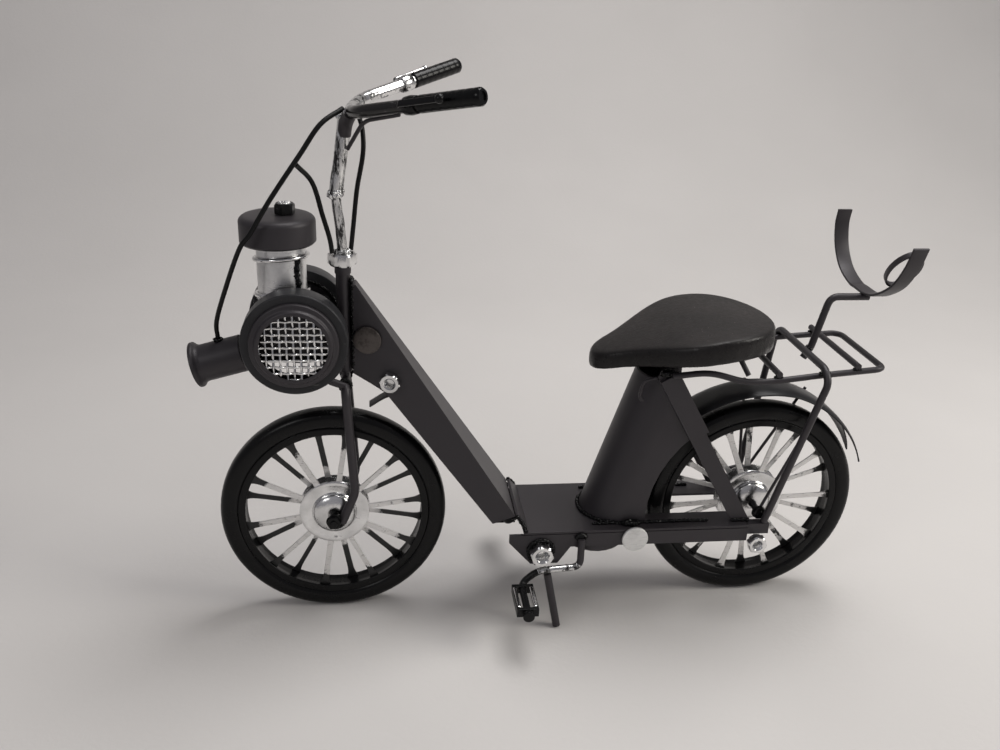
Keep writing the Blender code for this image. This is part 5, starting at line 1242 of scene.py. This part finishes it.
def seat_outline(count):
    """Points round the seat, evenly spaced, as (x, y)."""
    half = []
    for i in range(401):
        share = 0.5 - 0.5 * math.cos(math.pi * i / 400)
        half.append(Vector((SEAT_NOSE_X - SEAT_LENGTH * share, seat_half_width(share))))
    loop = half + [Vector((p.x, -p.y)) for p in reversed(half[1:-1])]
    lengths = [0.0]
    for a, b in zip(loop, loop[1:] + loop[:1]):
        lengths.append(lengths[-1] + (b - a).length)
    made, at = [], 0
    for i in range(count):
        target = lengths[-1] * i / count
        while lengths[at + 1] < target:
            at += 1
        span = max(lengths[at + 1] - lengths[at], 1e-9)
        made.append(loop[at].lerp(loop[(at + 1) % len(loop)], (target - lengths[at]) / span))
    return made


def make_seat():
    """A foam pad with a crowned top and a rolled edge, its cover pulled under the board."""
    outline = seat_outline(220)
    count = len(outline)
    inward = []
    for i in range(count):
        run = (outline[(i + 1) % count] - outline[i - 1]).normalized()
        inward.append(Vector((-run.y, run.x)))
    if sum((Vector((-64.0, 0.0)) - p).dot(n) for p, n in zip(outline, inward)) < 0:
        inward = [-n for n in inward]
    spine = [Vector((max(min(p.x, SEAT_NOSE_X - 10.0), SEAT_NOSE_X - 72.0), 0.0)) for p in outline]
    rings = [(5.0, 0.0, 0.3), (2.2, 0.0, 0.0), (1.1, 0.0, 0.0), (0.5, 0.0, 0.5), (0.15, 0.0, 1.6),
             (0.0, 0.3, 0.0),
             (0.0, 0.5, 0.0), (0.15, 0.7, 0.0), (0.5, 0.85, 0.0), (1.0, 0.93, 0.0), (1.8, 0.975, 0.0),
             (3.0, 1.0, 0.0), (4.4, 1.0, 0.12)]
    shape = bmesh.new()
    loops = []
    for inset, share, lift in rings:
        loop = []
        for i, (p, n) in enumerate(zip(outline, inward)):
            q = p + n * inset
            pucker = 0.12 * math.sin(i * 0.9) * math.sin(i * 0.23 + 1.0) if share < 0.6 else 0.0
            q = q + n * pucker
            loop.append(shape.verts.new((q.x, q.y, seat_floor(q.x) + seat_depth(q.x) * share + lift)))
        loops.append(loop)
    for step in range(1, 9):
        t = step / 9
        loop = []
        for p, n, s in zip(outline, inward, spine):
            edge = p + n * 4.4
            q = edge.lerp(s, t)
            crown = 0.12 + 0.9 * math.sin(math.pi / 2 * t) * min((SEAT_NOSE_X - q.x) / 40.0, 1.0)
            loop.append(shape.verts.new((q.x, q.y, seat_floor(q.x) + seat_depth(q.x) + crown)))
        loops.append(loop)
    for before, after in zip(loops, loops[1:]):
        for i in range(count):
            j = (i + 1) % count
            shape.faces.new((before[i], before[j], after[j], after[i]))
    shape.faces.new(loops[0])
    top = [shape.verts.new((s.x, 0.0, seat_floor(s.x) + seat_depth(s.x)
                            + 0.12 + 0.9 * min((SEAT_NOSE_X - s.x) / 40.0, 1.0))) for s in spine]
    for i in range(count):
        j = (i + 1) % count
        shape.faces.new((loops[-1][i], loops[-1][j], top[j], top[i]))
    bmesh.ops.remove_doubles(shape, verts=shape.verts, dist=1e-3)
    bmesh.ops.dissolve_degenerate(shape, edges=shape.edges, dist=1e-3)
    seat = piece("seat_pad", shape, "seat_vinyl", "frame", ("seat",), sharp=70)
    hook = 21.1
    path = bent([(-51.2, hook, 149.4), (-44.0, hook, 147.6), (-42.4, hook, 139.0), (-44.2, hook, 136.0)], 3.0)
    rod("seat_hook_fine", path, 1.6, "black_enamel", "frame", ("seat_hook",))


# Guards, rack and cradle

def guard_point(turn, y, lift):
    closer = max(turn + 34.0 - 0.45 * 101.5, 0.0) / (0.55 * 101.5)
    reach = WHEEL_RADIUS + 10.5 - 5.0 * closer + lift
    angle = math.radians(turn)
    return Vector((REAR_X - reach * math.sin(angle), y, WHEEL_RADIUS + reach * math.cos(angle)))


def make_guard():
    """A strip of thin sheet with turned-down edges that ends in two pointed tails."""
    steps, columns, sheet = 72, 6, 0.8
    shape = bmesh.new()
    for side in (1, -1):
        rows = []
        for i in range(steps + 1):
            turn = -34.0 + 101.5 * i / steps
            tail = max(turn - 44.0, 0.0) / 23.5
            outer = 12.0 - 3.6 * tail ** 1.4
            inner = 8.0 * tail ** 0.8
            rows.append([])
            for k in range(columns + 1):
                across = k / columns
                y = inner + (outer - inner) * across
                lift = -1.7 * (y / 12.0) ** 4 - 0.5 * tail * across
                rows[-1].append(guard_point(turn, side * y, lift))
        grid = [[shape.verts.new(p) for p in row] for row in rows]
        for before, after in zip(grid, grid[1:]):
            for k in range(columns):
                face = (before[k], before[k + 1], after[k + 1], after[k])
                shape.faces.new(face if side > 0 else tuple(reversed(face)))
    bmesh.ops.remove_doubles(shape, verts=shape.verts, dist=1e-3)
    bmesh.ops.recalc_face_normals(shape, faces=shape.faces)
    guard = piece("rear_mudguard_fine", shape, "grey_enamel", "frame", ("rear_mudguard",), sharp=60)
    wall = guard.modifiers.new("sheet", "SOLIDIFY")
    wall.thickness = sheet * MM
    wall.offset = -1.0
    edge = guard.modifiers.new("edge", "BEVEL")
    edge.width = 0.0002
    edge.segments = 2
    edge.limit_method = "ANGLE"
    axis = Vector((REAR_X, 0, WHEEL_RADIUS))
    for name, side, angle, y in (("left", 1, 25.0, 17.5), ("right", -1, 25.0, 17.5),
                                 ("upright", -1, -6.0, 15.0)):
        turn = math.radians(angle)
        away = Vector((-math.sin(turn), 0, math.cos(turn)))
        route = [axis + away * (WHEEL_RADIUS + 9.7) + Vector((0, side * 11.4, 0)),
                 axis + away * 2.6 + Vector((0, side * y, 0))]
        rod(f"guard_{name}_wire", route, 1.8, "black_enamel", "frame")
    strip = flowing([(101.0, 0, 127.0), (92.0, 0, 132.5), (84.0, 0, 134.0), (72.0, 0, 131.4),
                     (65.9, 0, 130.6)])
    piece("front_mudguard_fine", swept(strip, flat_section(7.6, 0.8), (0, 1, 0)), "black_enamel", "frame",
          ("front_mudguard",))


def make_rack():
    half, z, rear = RACK_HALF_WIDTH, RACK_Z, RACK_REAR
    side = [(-58.0, 26.0, z - 3.3), (-78.0, half - 2, z - 1.5), (-97.0, half, z - 5.5),
            (-113.0, half, z - 5.5),
            (-140.0, half, z - 2.5), (rear + 4.0, half - 1.0, z)]
    path = flowing(side, 6) + [Vector((rear + 0.8, half - 3.4, z)), Vector((rear, half - 6.0, z)),
                               Vector((rear, 0.0, z))]
    other = [Vector((p.x, -p.y, p.z)) for p in reversed(path[:-1])]
    rod("rack_loop_fine", bent(path + other, 2.0, 4), RACK_ROD, "black_enamel", "frame", ("rack_loop",))
    for x, name, drop in ((-159.0, "rack_rear_bar", 1.2), (-115.5, "rack_front_bar", 5.3)):
        level = z - drop + RACK_LIFT
        bar = [(x, -half - 2.5, level), (x, 0.0, level), (x, half + 1.0, level)]
        rod(name + "_fine", bar, RACK_ROD, "black_enamel", "frame", (name,))
        for sign in (1, -1):
            joint = [(x + 1.8 * math.cos(i), sign * half, level - 1.9 + 0.6 * math.sin(i)) for i in range(6)]
            weld(f"{name}_{'left' if sign > 0 else 'right'}_weld", joint, "frame", 1.2)
    wide, top = 36.8, z - 2.5 + RACK_LIFT + 0.6
    foot = (REAR_X - 1.5, 24.0, 59.6)
    half_path = [foot, (-140.0, wide, top - 6.0), (-140.0, wide - 6.0, top)]
    rod("rack_stay_fine", bent(both_sides(half_path), 5.0), 4.0, "black_enamel", "frame", ("rack_stay",))
    for sign, name in ((1, "left"), (-1, "right")):
        joint = [(-140.0 + 2.0 * math.cos(i), sign * (half + 1.5), top - 2.4) for i in range(6)]
        weld(f"rack_stay_{name}_weld", joint, "frame", 1.4)
        strut = [(-92.0, sign * 18.0, 167.0), (-99.5, sign * 27.0, 152.5)]
        rod(f"seat_{name}_strut", strut, 2.8, "black_enamel", "frame")


def make_cradle():
    top_z = CRADLE_FLOOR - 0.7 - 2.0 - 0.3
    path = [(-141.5, 0, 151.5), (-145.2, 0, 158.0), (-146.2, 0, 163.0), (-151.5, 0, top_z),
            (CRADLE_X - 1.0, 0, top_z)]
    rod("cradle_rod_fine", bent(path, 5.0), 4.0, "black_enamel", "frame", ("cradle_rod",))
    wide, floor, top = CRADLE_HALF_WIDTH, CRADLE_FLOOR, CRADLE_TOP
    outline = [(-wide + 0.8, top), (-wide, top - 9), (-wide + 4.5, top - 21), (-wide + 14.0, floor + 5.5),
               (-wide + 27.0, floor + 0.5), (-8.0, floor), (4.0, floor), (wide - 28.0, floor + 3.0),
               (wide - 14.0, floor + 12.0), (wide - 5.0, floor + 24.0), (wide, top)]
    strap = swept(flowing([(CRADLE_X, y, z) for y, z in outline], 10), flat_section(8.5, 1.4), (1, 0, 0))
    piece("cradle_strap_fine", strap, "black_enamel", "frame", ("cradle_strap",))
    low, high = Vector((CRADLE_X, 23.0, 202.0)), Vector((CRADLE_X, 38.0, 222.5))
    middle, run = (low + high) / 2, (high - low).normalized()
    reach = (high - low).length / 2
    inward = Vector((0, -run.z, run.y))
    band = bmesh.new()
    section = softened([(0.6, 1.5), (0.6, -1.5), (-0.6, -1.5), (-0.6, 1.5)], 0.3, True, 3)
    rows = []
    for i in range(72):
        turn = 2 * math.pi * i / 72
        outward = run * math.cos(turn) + Vector((1, 0, 0)) * math.sin(turn)
        place = middle + run * reach * math.cos(turn) + Vector((8.0 * math.sin(turn), 0, 0))
        rows.append([band.verts.new(place + outward * a + inward * b) for a, b in section])
    for row, after in zip(rows, rows[1:] + rows[:1]):
        for k in range(len(section)):
            m = (k + 1) % len(section)
            band.faces.new((row[k], row[m], after[m], after[k]))
    piece("cradle_loop_fine", band, "black_enamel", "frame", ("cradle_loop",))
    joint = [(CRADLE_X + 3.0 * math.cos(i), 1.5 * math.sin(i), top_z + 1.8) for i in range(7)]
    weld("cradle_weld", joint, "frame", 1.4)
    joint = [(-144.0 + 1.8 * math.cos(i), 2.0 * math.sin(i), 157.2) for i in range(8)]
    weld("cradle_foot_weld", joint, "frame", 1.3)


# Pedals and stand

def make_pedals():
    reach = RAIL_FACE + 0.3 + PEDAL_ROD / 2
    low = SPINDLE.z - 6.5 - PEDAL_ROD / 2 - 1.8
    end_y = PEDAL_INNER_Y + PEDAL_LENGTH + 3.0
    for side, name in ((1, "left"), (-1, "right")):
        path = [(-15.5, reach, FLOOR_TOP - 4.0), (-15.5, reach + 1.0, low + 1.0), (9.0, reach + 2.0, low),
                (PEDAL_X, PEDAL_INNER_Y - 4.0, PEDAL_Z), (PEDAL_X, end_y, PEDAL_Z)]
        path = bent([(x, side * y, z) for x, y, z in path], 5.0)
        bends = [i for i, place in enumerate(path) if place.z > low + 4.0][-1] + 2
        ankle = [i for i, place in enumerate(path) if place.x > 8.0][0]
        rod(f"{name}_pedal_arm_top", path[:bends + 1], PEDAL_ROD, "black_enamel", "frame", (), 0.15)
        rod(f"{name}_pedal_arm_fine", path[bends:ankle + 1], PEDAL_ROD, "worn_chrome", "frame",
            (f"{name}_pedal_arm",), 0.15)
        rod(f"{name}_pedal_arm_end", path[ankle:], PEDAL_ROD, "scuffed_enamel", "frame", (), 0.15)
        stop = turned(softened([(0, -1.2), (3.2, -1.2), (3.2, 0.8), (0, 0.8)], 0.4), "Y",
                      (PEDAL_X, side * end_y, PEDAL_Z), 32)
        piece(f"{name}_pedal_stop", stop, "weld_black", "frame")
        joint = [(-15.5 + 2.4 * math.cos(i), side * (RAIL_FACE + 0.8), FLOOR_TOP - 3.5 + 1.2 * math.sin(i))
                 for i in range(9)]
        weld(f"{name}_pedal_arm_weld", joint, "frame", 1.6)
        body = f"{name}_pedal"
        from_node(body, "scuffed_enamel", body, 0.0003)
        inner, outer = PEDAL_INNER_Y + 2.2, PEDAL_INNER_Y + PEDAL_LENGTH - 2.2
        for end, x in (("front", 4.6), ("rear", -4.6)):
            tread = bmesh.new()
            middle = (PEDAL_X + x, side * (inner + outer) / 2, PEDAL_Z)
            size = Matrix.Diagonal((2.5, outer - inner, 5.6, 1.0))
            bmesh.ops.create_cube(tread, size=1.0, matrix=Matrix.Translation(middle) @ size)
            piece(f"{name}_pedal_{end}_tread", tread, "bright_chrome", body, (), 0.0010)
    stand = [(3.2, reach + 1.6, low - PEDAL_ROD / 2 - 0.5), (-3.5, 34.0, 0.9)]
    rod("side_stand_fine", stand, 4.4, "black_enamel", "frame", ("side_stand",))


# Stage

def make_stage():
    settings = bpy.context.scene.moped_stage
    colour = tuple(settings.floor)
    tree, shader, where = new_material("stage_paper", colour, 0.75)
    cloud = noise(tree, where, 3.0, 3.0)
    join(tree, blend(tree, between(tree, cloud, 0.3, 0.7), colour, shade(colour, 0.94)),
         shader.inputs["Base Color"])
    bump(tree, shader, noise(tree, where, 260.0, 4.0), 0.0004, 0.4)
    shape = bmesh.new()
    wide, near, far, tall, radius = 3.0, 2.0, -1.3, 2.4, 0.8
    section = [(near, 0.0), (far + radius, 0.0)]
    for turn in (math.radians(degrees) for degrees in range(6, 90, 6)):
        section.append((far + radius - radius * math.sin(turn), radius - radius * math.cos(turn)))
    section += [(far, radius), (far, tall)]
    rows = [[shape.verts.new((x, y, z)) for y, z in section] for x in (-wide, wide)]
    for i in range(len(section) - 1):
        shape.faces.new((rows[0][i], rows[1][i], rows[1][i + 1], rows[0][i + 1]))
    mesh = bpy.data.meshes.new("paper")
    shape.to_mesh(mesh)
    shape.free()
    mesh.shade_smooth()
    mesh.materials.append(bpy.data.materials["stage_paper"])
    paper = bpy.data.objects.new("paper", mesh)
    bpy.context.scene.collection.objects.link(paper)
    bpy.context.scene.view_settings.view_transform = "Standard"
    make_lights()
    make_camera(settings)


def make_lights():
    """Soft boxes over and behind the moped, and a weak fill from the front."""
    world = bpy.data.worlds.new("room")
    world.use_nodes = True
    world.node_tree.nodes["Background"].inputs["Color"].default_value = (0.90, 0.88, 0.93, 1.0)
    world.node_tree.nodes["Background"].inputs["Strength"].default_value = 0.26
    bpy.context.scene.world = world
    warm, white = (1.0, 0.97, 0.90), (1.0, 0.985, 0.97)
    for name, place, size, power, tint in (("overhead", (-0.30, -0.20, 1.3), 0.7, 11.0, white),
                                           ("rear_box", (-1.2, 0.35, 0.85), 0.6, 9.0, warm),
                                           ("front_box", (0.9, 0.9, 0.9), 0.4, 2.0, white)):
        data = bpy.data.lights.new(name, "AREA")
        data.energy = power
        data.color = tint
        data.size = size
        lamp = bpy.data.objects.new(name, data)
        lamp.location = place
        aim = Vector((0.0, 0.0, 0.12)) - Vector(place)
        lamp.rotation_euler = aim.to_track_quat("-Z", "Y").to_euler()
        bpy.context.scene.collection.objects.link(lamp)


def make_camera(settings):
    turn, dip, roll = settings.camera_turn, settings.camera_dip, settings.camera_roll
    ahead = Vector((-math.sin(turn) * math.cos(dip), -math.cos(turn) * math.cos(dip), -math.sin(dip)))
    right = Vector((-math.cos(turn), math.sin(turn), 0.0))
    up = right.cross(ahead)
    tilted_right = right * math.cos(roll) + up * math.sin(roll)
    tilted_up = up * math.cos(roll) - right * math.sin(roll)
    data = bpy.data.cameras.new("camera")
    data.lens = settings.lens
    data.sensor_width = 36.0
    data.clip_start = 0.02
    camera = bpy.data.objects.new("camera", data)
    axes = Matrix((tilted_right, tilted_up, -ahead)).transposed().to_4x4()
    camera.matrix_world = Matrix.Translation(settings.camera_place) @ axes
    bpy.context.scene.collection.objects.link(camera)
    bpy.context.scene.camera = camera


# Operators

def make_wheels():
    make_wheel("front_wheel", FRONT_X, ("front_wheel", "front_tyre", 9.0))
    make_wheel("rear_wheel", REAR_X, ("rear_wheel", "rear_tyre", 3.0))


class MOPED_OT_finishes(bpy.types.Operator):
    """Makes the paints, the plating and the vinyl"""
    bl_idname = "moped.finishes"
    bl_label = "Finishes"

    def execute(self, context):
        make_materials()
        return {"FINISHED"}


class MOPED_OT_wheels(bpy.types.Operator):
    """Makes the tyres, the rims, the hubs and the flat spokes"""
    bl_idname = "moped.wheels"
    bl_label = "Wheels"

    def execute(self, context):
        make_wheels()
        return {"FINISHED"}


class MOPED_OT_fork(bpy.types.Operator):
    """Makes the bent fork, the head tube and the front axle"""
    bl_idname = "moped.fork"
    bl_label = "Fork"

    def execute(self, context):
        make_fork()
        make_head_tube()
        return {"FINISHED"}


class MOPED_OT_bars(bpy.types.Operator):
    """Makes the stem, the handlebar, the grips and the levers"""
    bl_idname = "moped.bars"
    bl_label = "Stem and Bar"

    def execute(self, context):
        make_stem()
        make_bar()
        return {"FINISHED"}


class MOPED_OT_cables(bpy.types.Operator):
    """Makes the three stiff wires from the bar"""
    bl_idname = "moped.cables"
    bl_label = "Cables"

    def execute(self, context):
        make_cables()
        return {"FINISHED"}


class MOPED_OT_drums(bpy.types.Operator):
    """Makes the two drums with their wire grilles"""
    bl_idname = "moped.drums"
    bl_label = "Drums"

    def execute(self, context):
        make_drums()
        return {"FINISHED"}


class MOPED_OT_engine(bpy.types.Operator):
    """Makes the crankcase, the cylinder, its cap and the lamp"""
    bl_idname = "moped.engine"
    bl_label = "Engine"

    def execute(self, context):
        make_engine()
        return {"FINISHED"}


class MOPED_OT_chassis(bpy.types.Operator):
    """Makes the folded frame, the floor, the rails and their nuts"""
    bl_idname = "moped.chassis"
    bl_label = "Frame"

    def execute(self, context):
        make_frame()
        return {"FINISHED"}


class MOPED_OT_seat(bpy.types.Operator):
    """Makes the padded seat and its hook"""
    bl_idname = "moped.seat"
    bl_label = "Seat"

    def execute(self, context):
        make_seat()
        return {"FINISHED"}


class MOPED_OT_guards(bpy.types.Operator):
    """Makes the rear guard with its wires and the front strip"""
    bl_idname = "moped.guards"
    bl_label = "Guards"

    def execute(self, context):
        make_guard()
        return {"FINISHED"}


class MOPED_OT_rack(bpy.types.Operator):
    """Makes the rack and the cradle for a bottle"""
    bl_idname = "moped.rack"
    bl_label = "Rack and Cradle"

    def execute(self, context):
        make_rack()
        make_cradle()
        return {"FINISHED"}


class MOPED_OT_pedals(bpy.types.Operator):
    """Makes the pedals, their arms and the side stand"""
    bl_idname = "moped.pedals"
    bl_label = "Pedals and Stand"

    def execute(self, context):
        make_pedals()
        return {"FINISHED"}


class MOPED_OT_stage(bpy.types.Operator):
    """Makes the paper, the lights and the camera"""
    bl_idname = "moped.stage"
    bl_label = "Stage"

    def execute(self, context):
        make_stage()
        return {"FINISHED"}


OPERATORS = (
    MOPED_OT_finishes, MOPED_OT_wheels, MOPED_OT_fork, MOPED_OT_bars, MOPED_OT_cables, MOPED_OT_drums,
    MOPED_OT_engine, MOPED_OT_chassis, MOPED_OT_seat, MOPED_OT_guards, MOPED_OT_rack, MOPED_OT_pedals,
    MOPED_OT_stage,
)


class MOPED_PT_panel(bpy.types.Panel):
    """The moped's settings and the steps that make it"""
    bl_idname = "MOPED_PT_panel"
    bl_label = "Moped"
    bl_space_type = "VIEW_3D"
    bl_region_type = "UI"
    bl_category = "Moped"

    def draw(self, context):
        for group in (context.scene.moped_sizes, context.scene.moped_colours, context.scene.moped_stage):
            box = self.layout.box()
            for name in group.__annotations__:
                box.prop(group, name)
        for step in OPERATORS:
            self.layout.operator(step.bl_idname)


CLASSES = (MopedSizes, MopedColours, MopedStage, *OPERATORS, MOPED_PT_panel)


def register():
    for made in CLASSES:
        bpy.utils.register_class(made)
    bpy.types.Scene.moped_sizes = PointerProperty(type=MopedSizes)
    bpy.types.Scene.moped_colours = PointerProperty(type=MopedColours)
    bpy.types.Scene.moped_stage = PointerProperty(type=MopedStage)


def unregister():
    del bpy.types.Scene.moped_stage
    del bpy.types.Scene.moped_colours
    del bpy.types.Scene.moped_sizes
    for made in reversed(CLASSES):
        bpy.utils.unregister_class(made)


def write_sizes():
    """Brings the view layer up to date."""
    bpy.context.view_layer.update()


def main():
    register()
    bpy.ops.moped.finishes()
    bpy.ops.moped.wheels()
    bpy.ops.moped.fork()
    bpy.ops.moped.bars()
    bpy.ops.moped.cables()
    bpy.ops.moped.drums()
    bpy.ops.moped.engine()
    bpy.ops.moped.chassis()
    bpy.ops.moped.seat()
    bpy.ops.moped.guards()
    bpy.ops.moped.rack()
    bpy.ops.moped.pedals()
    bpy.ops.moped.stage()
    write_sizes()


if __name__ == "__main__":
    main()
